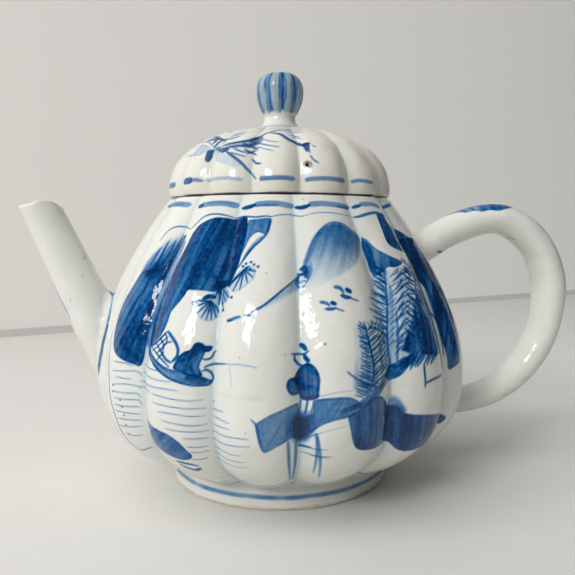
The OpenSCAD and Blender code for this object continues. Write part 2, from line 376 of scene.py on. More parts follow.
def smooth_line(points, steps):
    """A Catmull-Rom curve through points, with steps between each pair."""
    points = np.asarray(points, float)
    ends = np.concatenate([2 * points[:1] - points[1:2], points, 2 * points[-1:] - points[-2:-1]])
    t = (np.arange(steps) / steps)[:, None]
    spans = []
    for a, b, c, d in zip(ends, ends[1:], ends[2:], ends[3:]):
        bend, twist = 2 * a - 5 * b + 4 * c - d, 3 * b - a - 3 * c + d
        spans.append((2 * b + (c - a) * t + bend * t**2 + twist * t**3) / 2)
    return np.concatenate([*spans, points[-1:]])


def pierce(piece, name, starts, direction, diameter, length):
    """Cuts round holes, in millimetres, through a piece."""
    toward = Vector(direction).normalized()
    turn = toward.to_track_quat("Z", "Y").to_matrix().to_4x4()
    radius = diameter / 2 * MM
    drill = bmesh.new()
    for start in starts:
        middle = (Vector(start) + toward * length / 2) * MM
        bmesh.ops.create_cone(
            drill, cap_ends=True, segments=DRILL_SIDES, radius1=radius, radius2=radius,
            depth=length * MM, matrix=Matrix.Translation(middle) @ turn,
        )
    mesh = bpy.data.meshes.new(name)
    drill.to_mesh(mesh)
    drill.free()
    cutter = bpy.data.objects.new(name, mesh)
    bpy.context.scene.collection.objects.link(cutter)
    cut = piece.modifiers.new(name, "BOOLEAN")
    cut.object = cutter
    cut.operation = "DIFFERENCE"
    cut.solver = "EXACT"
    bpy.context.view_layer.objects.active = piece
    bpy.ops.object.modifier_apply(modifier=cut.name)
    bpy.data.objects.remove(cutter)


# --- The drawing view ---

# The painting is laid out in a front view of the pot, 575 pixels across. Its eye is placed in
# millimetres, turned about the upright axis and tilted down, in degrees.
VIEW_MIDDLE = 287.5
VIEW_FOCAL = 631.0
VIEW_EYE = np.array([-20.05, -215.69, 82.35])
VIEW_TURN = 6.0
VIEW_TILT = 5.04


def view_axes():
    """Directions to the right, down and ahead in the drawing view."""
    turn, tilt = math.radians(VIEW_TURN), math.radians(VIEW_TILT)
    right = np.array([math.cos(turn), -math.sin(turn), 0])
    level = math.cos(tilt)
    ahead = np.array([math.sin(turn) * level, math.cos(turn) * level, -math.sin(tilt)])
    return right, np.cross(ahead, right), ahead


def to_view(points):
    """Pixels of the drawing view at which points, in millimetres, are seen."""
    right, down, ahead = view_axes()
    seen = points - VIEW_EYE
    depth = seen @ ahead
    return VIEW_MIDDLE + VIEW_FOCAL * np.stack([seen @ right / depth, seen @ down / depth], axis=-1)


# --- Brushwork ---

# A brush stroke, through pixels of the drawing view, given as x,y, x,y and so on. The width is in
# millimetres, the strength runs from 0 to 1, and the tapers are shares of the stroke's length.
Stroke = namedtuple("Stroke", "path width strength start_taper end_taper", defaults=(0.25, 0.35))
# A filled area, through pixels of the drawing view. The strength changes from its top to its
# bottom, streaks run down the pot, turned by lean degrees, rim is the extra strength where the
# cobalt gathers along the edge, and edge is the width in millimetres over which the wash fades out.
Wash = namedtuple("Wash", "outline top low streaks lean rim edge", defaults=(0.35, 0, 0.12, 0.4))
# Where a wash or a stroke would divide by nothing
TINY = 1e-9


def strokes(width, strength, *paths, tapers=(0.25, 0.35)):
    """Strokes along several paths with the same brush."""
    return [Stroke(path, width, strength, *tapers) for path in paths]


# Swells of noise before it repeats
NOISE_SIZE = 64


def smooth_noise(across, along, seed):
    """Smooth noise between -1 and 1 over two coordinates, with one swell to a unit."""
    table = np.random.default_rng(seed).uniform(-1, 1, (NOISE_SIZE, NOISE_SIZE))
    i, j = np.floor(across).astype(int), np.floor(along).astype(int)
    u, v = across - i, along - j
    u, v = u * u * (3 - 2 * u), v * v * (3 - 2 * v)
    i, j = i % NOISE_SIZE, j % NOISE_SIZE
    i_next, j_next = (i + 1) % NOISE_SIZE, (j + 1) % NOISE_SIZE
    near = mix(table[i, j], table[i_next, j], u)
    return mix(near, mix(table[i, j_next], table[i_next, j_next], u), v)


def noise_around(angles, swell, seed):
    """Noise around a piece, with one swell to so many degrees."""
    return smooth_noise(angles / swell, 0 * angles, seed)


def noise_over(angles, runs, swell, length, seed):
    """Noise over a surface, with swells of so many degrees by so many millimetres."""
    return smooth_noise(*np.broadcast_arrays(angles / swell, runs[:, None] / length), seed)


class Ground:
    """A surface to paint on, laid out flat by angle around it and by run along its profile."""

    # The last layer holds pooled glaze with painted shade in valleys and joints. The iron and cobalt
    # layers also hold dark lines of painted shade at the lid's gap and over the foot.
    LAYERS = ("cobalt", "iron", "bare", "pool")
    # Width in millimetres over which the edge of a stroke fades out
    SOFT_EDGE = 0.32
    # Width of a stroke's ends, as a share of its middle's
    TIP = 0.28
    # Width in millimetres over which cobalt gathers along the rim of a wash
    RIM = 0.45
    # Streaks in a wash: number, strength, and width and length in millimetres
    STREAKS = ((0, 1.0, 0.9, 14), (1, 0.7, 2.6, 22), (3, 0.45, 0.42, 8))
    # Blotches in a wash: number, strength and size in millimetres
    BLOTCHES = (2, 0.35, 3.5)
    # Every so many points of the surface are looked at first when a pixel is dropped on it
    DROP_STEP = 3
    # How squarely a point has to face the eye, from 0 to 1, to be dropped on
    FACING = 0.06
    # Points may hide each other when they are this close to a pixel, in pixels, and one is this
    # much nearer to the eye, in millimetres
    CLOSE = 3.0
    NEARER = 2.0

    def __init__(self, angles, runs, radii, points):
        self.angles, self.runs, self.radii, self.points = angles, runs, radii, points
        for layer in (*self.LAYERS, "cover"):
            setattr(self, layer, np.zeros(points.shape[:2], np.float32))
        self.view = to_view(points)
        self.find_seen()

    def find_seen(self):
        """Keeps the points that face the drawing view, to drop pixels on."""
        sideways = np.roll(self.points, -1, axis=1) - np.roll(self.points, 1, axis=1)
        upwards = np.gradient(self.points, axis=0)
        outwards = np.cross(sideways, upwards)
        outwards *= np.sign((outwards * (self.points - self.points.mean((0, 1)))).sum())
        facing = (unit(outwards) * unit(VIEW_EYE - self.points)).sum(-1)
        step = self.DROP_STEP
        rows, cols = np.nonzero(facing[::step, ::step] > self.FACING)
        self.seen_rows, self.seen_cols = rows * step, cols * step
        self.seen = self.view[self.seen_rows, self.seen_cols]
        away = self.points[self.seen_rows, self.seen_cols] - VIEW_EYE
        self.seen_depth = away @ view_axes()[2]

    def drop(self, pixels):
        """Places on the surface, as (angle, run), that are seen at pixels of the drawing view."""
        places = []
        for pixel in pairs(pixels):
            off_by = ((self.seen - pixel) ** 2).sum(1)
            close = off_by < max(self.CLOSE**2, off_by.min() + 1)
            front = close & (self.seen_depth < self.seen_depth[close].min() + self.NEARER)
            nearest = np.argmin(np.where(front, off_by, np.inf))
            row = np.clip(self.seen_rows[nearest], 1, len(self.runs) - 2)
            col = np.clip(self.seen_cols[nearest], 1, len(self.angles) - 2)
            by_row = (self.view[row + 1, col] - self.view[row - 1, col]) / 2
            by_col = (self.view[row, col + 1] - self.view[row, col - 1]) / 2
            slopes = np.stack([by_row, by_col], axis=-1)
            off = np.linalg.lstsq(slopes, pixel - self.view[row, col], rcond=0.05)[0]
            row, col = (row, col) + np.clip(off, -self.DROP_STEP, self.DROP_STEP)
            angle = np.interp(col, np.arange(len(self.angles)), self.angles)
            places.append((angle, np.interp(row, np.arange(len(self.runs)), self.runs)))
        return np.array(places)

    def window(self, places, reach):
        """Rows and columns within reach of places."""
        radius = np.interp(places[:, 1], self.runs, self.radii).min()
        reaches = (math.degrees(reach / max(radius, 1)), reach)
        (left, low_run), (right, high_run) = places.min(0) - reaches, places.max(0) + reaches
        rows = slice(*np.searchsorted(self.runs, (low_run, high_run)))
        return rows, slice(*np.searchsorted(self.angles, (left, right)))

    def offsets(self, rows, cols, place):
        """Distances across and along the surface from a place to the points of a window."""
        radius = np.interp(place[1], self.runs, self.radii)
        across = np.radians(self.angles[cols] - place[0]) * radius
        return across[None, :], (self.runs[rows] - place[1])[:, None]

    def lay(self, rows, cols, strength, layer="cobalt"):
        """Lays a strength over what is already in a layer."""
        target = getattr(self, layer)[rows, cols]
        target[...] = 1 - (1 - target) * (1 - np.clip(strength, 0, 1))

    def turned(self, places, turn):
        """The same places turned around the piece, once or twice where they meet its end."""
        for whole in (-360, 0, 360):
            moved = places + [turn + whole, 0]
            if moved[:, 0].max() > self.angles[0] and moved[:, 0].min() < self.angles[-1]:
                yield moved

    def brush(self, places, width, strength, start_taper, end_taper, layer="cobalt"):
        """Draws one stroke through places."""
        line = smooth_line(places, 6)
        share = np.linspace(0, 1, len(line))
        swell = np.clip(share / start_taper, 0, 1) * np.clip((1 - share) / end_taper, 0, 1)
        half = width / 2 * mix(self.TIP, 1, np.sqrt(swell))
        box = self.window(line, width + self.SOFT_EDGE)
        cover = self.cover[box]
        cover[...] = 0
        for a, b, half_a, half_b in zip(line, line[1:], half, half[1:]):
            rows, cols = self.window(np.stack([a, b]), width / 2 + self.SOFT_EDGE)
            across, along = self.offsets(rows, cols, a)
            level = math.radians(b[0] - a[0]) * np.interp(a[1], self.runs, self.radii)
            run = np.array([level, b[1] - a[1]])
            t = np.clip((across * run[0] + along * run[1]) / max(run @ run, TINY), 0, 1)
            distance = np.hypot(across - t * run[0], along - t * run[1])
            edge = mix(half_a, half_b, t) + self.SOFT_EDGE / 2 - distance
            here = self.cover[rows, cols]
            np.maximum(here, np.clip(edge / self.SOFT_EDGE, 0, 1), out=here)
        self.lay(*box, cover * strength, layer)

    def flood(self, places, wash, seed):
        """Fills the outline through places with a streaky wash."""
        ring = smooth_line(np.concatenate([places, places[:1]]), 4)[:-1]
        rows, cols = self.window(ring, 0.6 + wash.edge)
        middle = ring.mean(0)
        across, along = np.broadcast_arrays(*self.offsets(rows, cols, middle))
        radius = np.interp(middle[1], self.runs, self.radii)
        outline = (ring - middle) * [math.radians(radius), 1]
        inside = np.zeros(across.shape, bool)
        distance = np.full(across.shape, np.inf)
        for a, b in zip(outline, np.roll(outline, -1, axis=0)):
            run = b - a
            right, up = across - a[0], along - a[1]
            t = np.clip((right * run[0] + up * run[1]) / max(run @ run, TINY), 0, 1)
            distance = np.minimum(distance, np.hypot(right - t * run[0], up - t * run[1]))
            crossed = (a[1] > along) != (b[1] > along)
            inside ^= crossed & (right < up * run[0] / (run[1] if run[1] else TINY))
        signed = np.where(inside, distance, -distance)
        lean = math.radians(wash.lean)
        streak_across = across * math.cos(lean) + along * math.sin(lean)
        streak_along = along * math.cos(lean) - across * math.sin(lean)
        number, share, size = self.BLOTCHES
        streaks = share * smooth_noise(across / size, along / size, seed + number)
        for number, share, width, length in self.STREAKS:
            noise = smooth_noise(streak_across / width, streak_along / length, seed + number)
            streaks += share * noise
        rise = np.clip((along - outline[:, 1].min()) / np.ptp(outline[:, 1]), 0, 1)
        strength = mix(wash.low, wash.top, rise) * (1 + wash.streaks * streaks)
        strength += wash.rim * bell(signed, self.RIM)
        self.lay(rows, cols, np.clip(0.5 + signed / wash.edge, 0, 1) * strength)

    def paint(self, motifs, turn=0, fade=1.0, leave_out=(), layer="cobalt"):
        """Paints named motifs, turned around the piece."""
        for number, (name, marks) in enumerate(motifs.items()):
            if name in leave_out:
                continue
            for mark in marks if isinstance(marks, list) else [marks]:
                if isinstance(mark, Wash):
                    wash = mark._replace(top=mark.top * fade, low=mark.low * fade)
                    for places in self.turned(self.drop(mark.outline), turn):
                        self.flood(places, wash, 10 * number + turn)
                else:
                    brush = (mark.width, mark.strength * fade, mark.start_taper, mark.end_taper)
                    for places in self.turned(self.drop(mark.path), turn):
                        self.brush(places, *brush, layer)

    def shares(self):
        """Everything that was laid on the surface, by attribute name."""
        return {layer: getattr(self, layer) for layer in self.LAYERS}


# --- The painting on the front of the body ---

# The border line under the collar and the outlines of the rocks and the far hill
OUTLINES = {
    "rock_rim_left": Stroke([160,241, 167,232, 174,227.5, 182,226.5, 191,229], 0.5, 0.62),
    "rock_rim_middle": Stroke(
        [191,229, 197,223, 203,217.5, 210,214.5, 218,214, 227,215.5, 236,218.5], 0.5, 0.7),
    "rock_rim_right": Stroke([236,218.5, 244,216.5, 256,217, 266,216, 272,217], 0.5, 0.72),
    "border_middle": Stroke([270,217, 279,215, 289,214.5, 300,216.3, 307,215], 0.42, 0.5),
    "border_right": Stroke([306,215, 316,212.8, 328,212.5, 340,214, 351,216.5], 0.36, 0.46),
    "border_end": Stroke([353,217.5, 361,216, 369,213.5, 377,212.5, 383,215], 0.95, 0.62),
    "hill_shore": Stroke(
        [245,316, 252,311.5, 262,306.5, 272,299, 282,290.5, 290,284, 297,278], 0.62, 0.72),
    "hill_shore_end": [
        Stroke([227,321, 234,318.5, 241,317], 0.9, 0.45, 0.1, 0.4),
        Stroke([227,321, 233,320], 0.5, 0.8, 0.1, 0.4),
        Stroke([233,318, 240,316], 0.3, 0.6),
        Stroke([244,314, 248,316, 253,311], 0.6, 0.5),
    ],
    "hill_slope": Stroke(
        [303,269, 307,258, 311,246, 316,236, 323,227, 332,222.3, 342,223.5, 350,229, 357,235.5, 360,243],
        0.36, 0.55),
    "mist_lines": [
        Stroke([312,397.5, 324,395.5, 338,392.5, 352,391], 0.3, 0.28),
        Stroke([324,432, 336,429, 350,424.5], 0.3, 0.25),
        Stroke([347,371.5, 354,377, 362,382.5], 0.5, 0.55),
    ],
}

# The overhanging rocks on the left, laid down as washes with darker pulls of the brush over them
ROCKS = {
    "left_rock": Wash(
        [163,268, 153,270, 143,271, 133,286, 123,304, 117,322, 113.5,343, 116,354, 124,360.5, 133,364,
         140,366, 144,358, 147.5,338, 151.5,318, 158,296, 168,271, 178,252, 186,237, 184,236, 178,248,
         170,262], 0.74, 0.84, 0.22, -18),
    "left_rock_top": Wash(
        [160,247, 167,240, 175,236, 184,234, 181,246, 174,258, 164,270, 148,276, 142,272, 150,258],
        0.08, 0.8, 0.5, -22, 0, 1.6),
    "left_rock_pulls": [
        Stroke([170,240, 163,252, 155,268], 0.8, 0.45, 0.6, 0.3),
        Stroke([163,246, 153,260, 144,276], 0.9, 0.4, 0.6, 0.3),
        Stroke([176,240, 170,252, 160,270], 0.9, 0.5, 0.6, 0.3),
        Stroke([184,234, 172,258, 160,283, 152,305, 147,330], 1.7, 0.5),
        Stroke([168,242, 158,262, 146,287, 137,312, 131,340], 1.0, 0.35),
        Stroke([152,300, 143,325, 139,350], 2.4, 0.5),
        Stroke([124,345, 131,355, 140,360], 2.0, 0.45),
        Stroke([160,248, 153,262, 146,275], 1.1, 0.3),
    ],
    "left_rock_haze": Wash(
        [150,352, 147,345, 150,322, 157,297, 167,271, 178,250, 186,240, 181,256, 172,278, 163,302, 157,325,
         153,345], 0.4, 0.5, 0.3, -18, 0),
    "middle_rock": Wash(
        [193,233, 199,225.5, 207,220.5, 216,217.5, 226,218, 236,219.5, 247,217, 246,229, 242.5,244,
         239,260, 234,274, 229,284, 223,289, 214,291.5, 203,290.5, 194,290, 188,290, 184,296, 178,303.5,
         171,312, 168,321, 163,332, 158,339, 152,345, 150.5,338, 155,319, 163,298, 173,274, 184,251],
        0.82, 0.74, 0.2, -14),
    "middle_rock_pulls": [
        Stroke([244,219, 241,238, 236,258, 230,280], 2.9, 0.82, 0.1, 0.2),
        Stroke([238,222, 234,240, 228,262, 222,278], 2.2, 0.6, 0.1, 0.3),
        Stroke([246,218, 246,232, 241,250, 236,268], 0.5, 0.6, 0.1, 0.2),
        Stroke([228,222, 222,240, 213,262, 205,277], 1.7, 0.5),
        Stroke([214,222, 206,238, 197,257, 189,276], 1.8, 0.42),
        Stroke([196,232, 188,247, 179,266, 171,286], 1.3, 0.5),
        Stroke([220,283, 226,284, 231,280], 1.8, 0.85),
        Stroke([200,262, 206,270, 218,278], 1.6, 0.4),
        Stroke([166,300, 161,318, 156,338], 2.2, 0.5),
    ],
    "middle_rock_shoulder": Wash(
        [249,220, 258,219, 271,218.5, 270,227, 265,234, 258,232, 250,238, 244,250, 240,256, 242,242,
         246,228], 0.56, 0.42, 0.2, -8, 0.16),
    "middle_rock_fringe": [
        Stroke([270,220, 268,231, 261,240, 252,248, 244,259, 238,268], 0.75, 0.62),
        Stroke([262,236, 252,247, 243,259], 1.3, 0.3),
    ],
}

# Each pine tuft is a knot of cobalt with needles to these tips
PINE_TUFTS = {
    "lower": [211,301, 192,302, 193.5,307.5, 197,313, 201,318, 206,320.5, 211,320.5, 216,318, 219.5,313],
    "upper": [219,287, 215,298, 219,305, 223.5,309, 226,302, 229.5,298],
    "right": [243.5,270, 229,286, 232.5,291.5, 239.5,290, 247.5,283, 253,278, 256,271.5, 250,266],
}
PINE_FANS = {
    "lower_fan": Wash(
        [207,299, 199,299, 192,302, 193,309, 199,317, 206,321, 213,320.5, 219,314, 218,304, 213,299],
        0.2, 0.12, 0.3),
    "upper_fan": Wash([216,284, 213,294, 216,301, 222,305, 227,300, 229,292, 223,286], 0.25, 0.15, 0.3),
    "right_fan": Wash(
        [242,268, 235,276, 229,287, 235,292, 246,286, 254,278, 256,270, 250,266], 0.16, 0.1, 0.3),
}
PINE_DOTS = [243,266, 247,267.5, 251,262, 254,264.5, 258,266.5, 250,269, 246,263.5, 231.5,297, 223,310]
PINE_KNOTS = {
    "lower": Stroke([203,299, 209,296.5, 216,297.5], 1.3, 0.85, 0.3, 0.3),
    "middle": Stroke([217,281, 218,287, 219,290], 1.3, 0.85, 0.3, 0.3),
    "right": Stroke([228,288, 232,282, 238,276, 244,271], 0.8, 0.6, 0.3, 0.3),
}

HILL = {
    "hill": Wash(
        [305,270, 309,257, 313,244, 319,233, 327,225.5, 335,223, 344,225, 352,231, 359,238, 360,252,
         356,264, 343,273, 328,281, 313,288, 299,291, 300,280], 0.62, 0.0, 0.2, -24, 0.03, 1.2),
    "hill_top": Wash(
        [315,240, 321,231, 330,224, 340,223.5, 350,230, 359,239, 358,250, 345,252, 330,258, 316,262,
         311,254], 0.3, 0.05, 0.25, -24, 0, 3),
    "hill_side": Stroke([304,268, 308,256, 313,243, 319,233, 327,226], 1.5, 0.32, 0.1, 0.5),
    "hill_foot": Stroke([305,267, 302,275, 299.5,283], 2.5, 0.68, 0.3, 0.2),
    "hill_foot_shade": [
        Stroke([309,266, 306,277, 302,287], 1.5, 0.4, 0.3, 0.3),
        Stroke([296,279, 296,284, 299,287, 304,286], 0.5, 0.5, 0.3, 0.3),
        Stroke([311,262, 311,272, 307,282], 0.8, 0.25, 0.3, 0.3),
    ],
    "shore_haze": Wash(
        [296,278, 288,286, 276,296, 262,306, 247,315, 262,309, 278,301, 292,293, 304,288],
        0.3, 0.1, 0.2, 0, 0, 1.2),
}

BIRDS = {
    "near_bird": [
        Stroke([334,287, 340,288, 344,293], 1.1, 0.6, 0.2, 0.5),
        Stroke([341,295, 346,297, 351,297.5], 1.2, 0.8, 0.3, 0.4),
        Stroke([346,289, 351,292], 1.3, 0.85, 0.3, 0.3),
        Stroke([350,298, 359,301], 0.4, 0.75, 0.1, 0.2),
    ],
    "far_bird": [
        Stroke([320,302, 326,303, 330,306], 1.0, 0.6, 0.2, 0.5),
        Stroke([325,309, 331,309, 336,308], 0.9, 0.7, 0.3, 0.4),
        Stroke([331,302.5, 336,304], 1.1, 0.85, 0.3, 0.3),
        Stroke([335,308, 345,311.5], 0.4, 0.65, 0.1, 0.2),
    ],
}

# The bluff behind the trees, and the ribbon of rock that hangs over it
BLUFF = {
    "bluff": Wash(
        [361.5,237, 367,240, 374,247, 382,252, 392,257, 401,261, 401.5,264, 395,267, 388,267, 384,271,
         378,275, 373,275, 369,268, 365.5,256, 362,247], 0.62, 0.72, 0.2, -20),
    "bluff_shade": Stroke([364,242, 369,256, 375,270], 2.4, 0.6, 0.2, 0.4),
    "ribbon": Wash(
        [376,214, 383,214, 387,222, 393,229, 400,235, 406,245, 406,252, 399,250, 391,246, 386,240,
         381.5,228, 378,219], 0.75, 0.85, 0.2, -30),
    "ribbon_tail": Wash(
        [392,225, 399,231, 408,237, 415,241, 420,251, 427,263, 433,275, 426,274, 416,266, 408,256,
         402,244], 0.9, 0.8, 0.2, -30),
    "far_cliff": Wash(
        [400,240, 412,238, 420,248, 432,268, 443,290, 452,315, 458,340, 460,352, 459,361, 449,369, 447,358,
         441,335, 434,312, 425,288, 415,268, 405,252], 0.86, 0.8, 0.25, -25),
    "far_cliff_pulls": [
        Stroke([424,262, 436,285, 446,315, 452,345], 2.4, 0.6),
        Stroke([421,275, 430,298, 438,322, 444,345], 1.6, 0.55),
    ],
}

# Trees drawn as rows of needles along a trunk. After the trunk come the reach of its first needle
# and of its last, from trunk to tip in pixels, the number of needles, their width and strength.
FIR_ROWS = {
    "tall_fir_left": ([384,270, 386,300, 387,335], (-12, -8), (-17, -8), 14, 0.38, 0.88),
    "tall_fir_left_low": ([386,276, 388,305, 388,338], (-11, -3), (-15, -3), 9, 0.32, 0.6),
    "tall_fir_inner": ([386,272, 388,302, 388,345], (-7, -7), (-8, -7), 15, 0.4, 0.8),
    "willow_gap": ([398,268, 397,300, 395,340], (-8, 7), (-7, 8), 14, 0.3, 0.5),
    "willow_left": ([402,270, 404,300, 403,345], (-7, 9), (-8, 10), 17, 0.36, 0.7),
    "willow_left_inner": ([407,270, 410,300, 408,345], (-8, 4), (-8, 7), 15, 0.34, 0.65),
    "willow_middle": ([411,266, 417,300, 416,338], (-10, -8), (-11, -9), 17, 0.46, 0.92),
    "willow_middle_low": ([412,270, 418,302, 418,335], (-8, -3), (-9, -3), 13, 0.36, 0.8),
    "willow_right": ([420,280, 426,305, 427,335], (-9, -9), (-10, -8), 13, 0.46, 0.8),
    "low_fir_crown": ([366,330, 370,330, 376,331], (-6, -9), (5, -11), 6, 0.3, 0.8),
    "low_fir_left": ([366,328, 371,350, 374,372, 371,391], (-8, -5), (-14, -6), 21, 0.3, 0.85),
    "low_fir_left_low": ([368,336, 373,356, 373,385], (-9, -1), (-12, -2), 12, 0.26, 0.6),
    "low_fir_right": ([366,332, 371,350, 374,372, 372,391], (8, -8), (12, -11), 19, 0.3, 0.85),
    "low_fir_right_low": ([376,340, 381,362, 380,388], (6, -9), (6, -9), 15, 0.32, 0.8),
    "low_fir_base": ([380,384, 373,392, 364,398], (-20, -8), (-10, -3), 8, 0.36, 0.75),
    "hut_thatch": ([412,352, 426,350, 440,347], (-9, 17), (-8, 16), 8, 0.95, 0.68),
    "hut_thatch_thin": ([415,352, 429,350, 441,348], (-8, 15), (-7, 14), 7, 0.4, 0.5),
    "hut_thatch_low": ([403,362, 412,358, 420,354], (-2, 7), (-6, 12), 6, 0.7, 0.6),
}
TREES = {
    "tree_haze": Wash(
        [371,276, 380,272, 388,270, 398,268, 409,268, 419,280, 426,300, 430,330, 424,350, 408,360, 392,364,
         384,385, 366,396, 354,388, 357,350, 356,325, 372,318, 369,298], 0.16, 0.2, 0.6, -5, 0, 1.2),
    "fir_trunks": [
        Stroke([384,270, 387,300, 387,330, 388,352, 389,368, 382,387, 370,399], 0.5, 0.7),
        Stroke([365,326, 370,346, 374,368, 371,390], 0.5, 0.9),
        Stroke([390,285, 391,310, 390,350, 391,366], 1.5, 0.2),
        Stroke([396,310, 398,340, 397,364], 0.7, 0.45),
    ],
    "willow_crown": [
        Stroke([409,267, 413,273, 415,281, 416,292], 1.3, 0.8, 0.2, 0.5),
        Stroke([403,269, 408,272, 410,280], 0.8, 0.6, 0.2, 0.5),
    ],
    "dark_thicket": Wash(
        [424,292, 430,305, 436,325, 441,345, 441,352, 408,352, 404,345, 409,330, 413,315, 415,300,
         418,290], 0.62, 0.9, 0.4, -10, 0, 0.8),
    "thicket_gap": Stroke([421,285, 428,300, 435,318, 441,338, 444,356], 0.8, 0.55),
    "tree_foot": Wash(
        [388,366, 396,362, 406,356, 410,361, 406,370, 398,377, 388,382, 382,388, 378,388, 384,378],
        0.6, 0.45, 0.3, 70),
    "tree_foot_line": Stroke([390,366, 398,366, 405,360, 414,354], 1.0, 0.7),
    "hut_frame": [
        Stroke([424,364, 425,375, 425.5,388], 0.75, 0.8, 0.1, 0.2),
        Stroke([426,383, 434,379, 442,374], 0.75, 0.75, 0.1, 0.1),
        Stroke([441,350, 441.5,362, 441.5,378], 0.6, 0.7, 0.1, 0.2),
        Stroke([449,369, 455,365, 460,360], 0.9, 0.6, 0.1, 0.1),
    ],
}

SHORE = {
    "bank": Wash(
        [255,425, 265,419, 278,412.5, 290,407, 298,403.5, 300,414, 312,414, 315,401, 330,399, 345,398,
         356,400, 362,405, 360,411, 350,417, 338,420, 325,424, 315,430, 307,437, 299,440, 292,438, 286,442,
         277,447, 265,453, 260,448, 257,437], 0.56, 0.5, 0.15, -30, 0.14),
    "bank_edge": Stroke([250,419, 256,425.5, 259,438, 263,450], 0.55, 0.5),
    "bank_top": Stroke([257,423, 272,415, 290,407, 299,403], 0.5, 0.4),
    "bank_top_right": Stroke([314,400.5, 330,399, 348,398, 358,401], 0.5, 0.5),
    "bank_knot": Wash(
        [291,415, 301,413, 311,414, 314,420, 312,431, 305,440, 297,441, 290,436, 288,427],
        0.72, 0.86, 0.25, 0, 0, 2.4),
    "bank_bend": [
        Stroke([386,378, 380,390, 370,399, 352,408], 2.2, 0.55, 0.3, 0.3),
        Stroke([341,413, 352,408, 364,405, 374,400], 1.5, 0.4),
    ],
    "left_boulder": Wash(
        [348,416, 360,410, 370,400, 379,396, 385,400, 388,412, 388.5,428, 385,440, 377,447, 366,450,
         357,448.5, 353,441, 350.5,428], 0.66, 0.8, 0.25, 4, 0.2),
    "left_boulder_pulls": [
        Stroke([359,414, 358,430, 359,445], 1.5, 0.45),
        Stroke([372,406, 373,425, 368,443], 1.2, 0.35),
    ],
    "right_boulder": Wash(
        [384,414, 387,408, 392,405, 399,407, 403,412, 411,414.5, 424,415, 434,414.5, 442,412, 445,416,
         440,423, 436,432, 428,442, 417,448.5, 405,451, 396,448.5, 389,442, 384,439],
        0.8, 0.82, 0.2, 10, 0.15),
    "right_boulder_haze": Wash(
        [386,410, 389,399, 395,396, 401,402, 406,411, 398,414, 390,415], 0.45, 0.6, 0.3, 10, 0, 1.2),
    "right_boulder_pulls": [
        Stroke([389,408, 388,422, 389,438], 3.2, 0.75),
        Stroke([405,418, 408,430, 407,446], 1.4, 0.35),
        Stroke([420,418, 418,430, 414,444], 1.2, 0.3),
    ],
    "leaf_islet": Wash(
        [145.5,415, 150,424, 160,431, 170,436, 179,443, 187,451, 192,456, 189,459.5, 181,459.5, 171,456,
         160,449, 152,440, 147.5,429], 0.7, 0.8, 0.22, -50, 0.16),
    "islet_reeds": [
        Stroke([176,461, 184,463, 191,464.5, 199,466], 1.1, 0.7, 0.3, 0.5),
        Stroke([180,464, 188,468, 196,470, 201,468], 1.3, 0.75, 0.4, 0.2),
    ],
}

# A figure under a wide hat on the bank, and an angler in a boat. Neither has a face.
FIGURES = {
    "stroller_robe": Wash(
        [303,365, 308,363, 314,366, 318,372, 320,380, 319,392, 318,398, 309,400, 301,399, 299,391, 296,386,
         294,379, 297,372], 0.86, 0.8, 0.3, 0, 0.2),
    "robe_fold": [
        Stroke([301,368, 300,382, 303,398], 2.4, 0.7, 0.3, 0.3),
        Stroke([301,397, 309,398.5, 318,396], 0.9, 0.7, 0.2, 0.2),
    ],
    "stroller_sleeve": [
        Wash([298,377, 291,379, 287.5,386, 290.5,393, 297,394, 301,388], 0.72, 0.6, 0.2),
        Stroke([297,378, 290,380, 287.5,386, 290.5,393, 296,394, 301,389], 0.7, 0.75),
    ],
    "stroller_hat": [
        Stroke([291,354, 297,354, 304,354, 309,350.5], 0.5, 0.75),
        Stroke([294.5,355, 295,360, 299,364.5, 304,366, 308,362], 0.6, 0.8),
        Stroke([304,355, 306.5,359, 309,361], 1.2, 0.85, 0.3, 0.3),
        Stroke([300,345, 303,346, 306,350], 1.3, 0.8, 0.3, 0.3),
    ],
    "stroller_legs": [
        Stroke([300.5,399, 300,407, 299,414], 0.4, 0.7, 0.1, 0.1),
        Stroke([307.5,399, 306.5,407, 305,414], 0.5, 0.75, 0.1, 0.1),
        Stroke([314,399, 313,406, 310.5,414], 0.4, 0.6, 0.1, 0.1),
    ],
    "angler_robe": Wash(
        [178,357, 184,352, 190,350, 194.5,344, 199,342.5, 204,345, 205,352, 202,359, 199,367, 202,376,
         192,376, 182,373, 173,368], 0.64, 0.48, 0.4, -20, 0.3),
    "angler_folds": [
        Stroke([199,344, 196,352, 188,358, 178,362], 1.3, 0.55),
        Stroke([190,366, 192,371, 196,375], 0.9, 0.65),
    ],
    "angler_hat": Stroke([203,347.5, 207,349, 211,347.5], 1.6, 0.95, 0.3, 0.3),
    "angler_arm": Stroke([202,358.5, 207,359.5, 212,357, 214.5,352, 216.5,351.5], 0.5, 0.8),
    "rod": [
        Stroke([204,367.5, 210,365, 217,363.8, 226,364], 0.6, 0.6, 0.1, 0.4),
        Stroke([224,364, 236,364.5, 248,366, 258,368.5], 0.3, 0.36, 0.1, 0.1),
        Stroke([229.5,365, 230.5,375, 232,388], 0.28, 0.2, 0.1, 0.1),
    ],
}

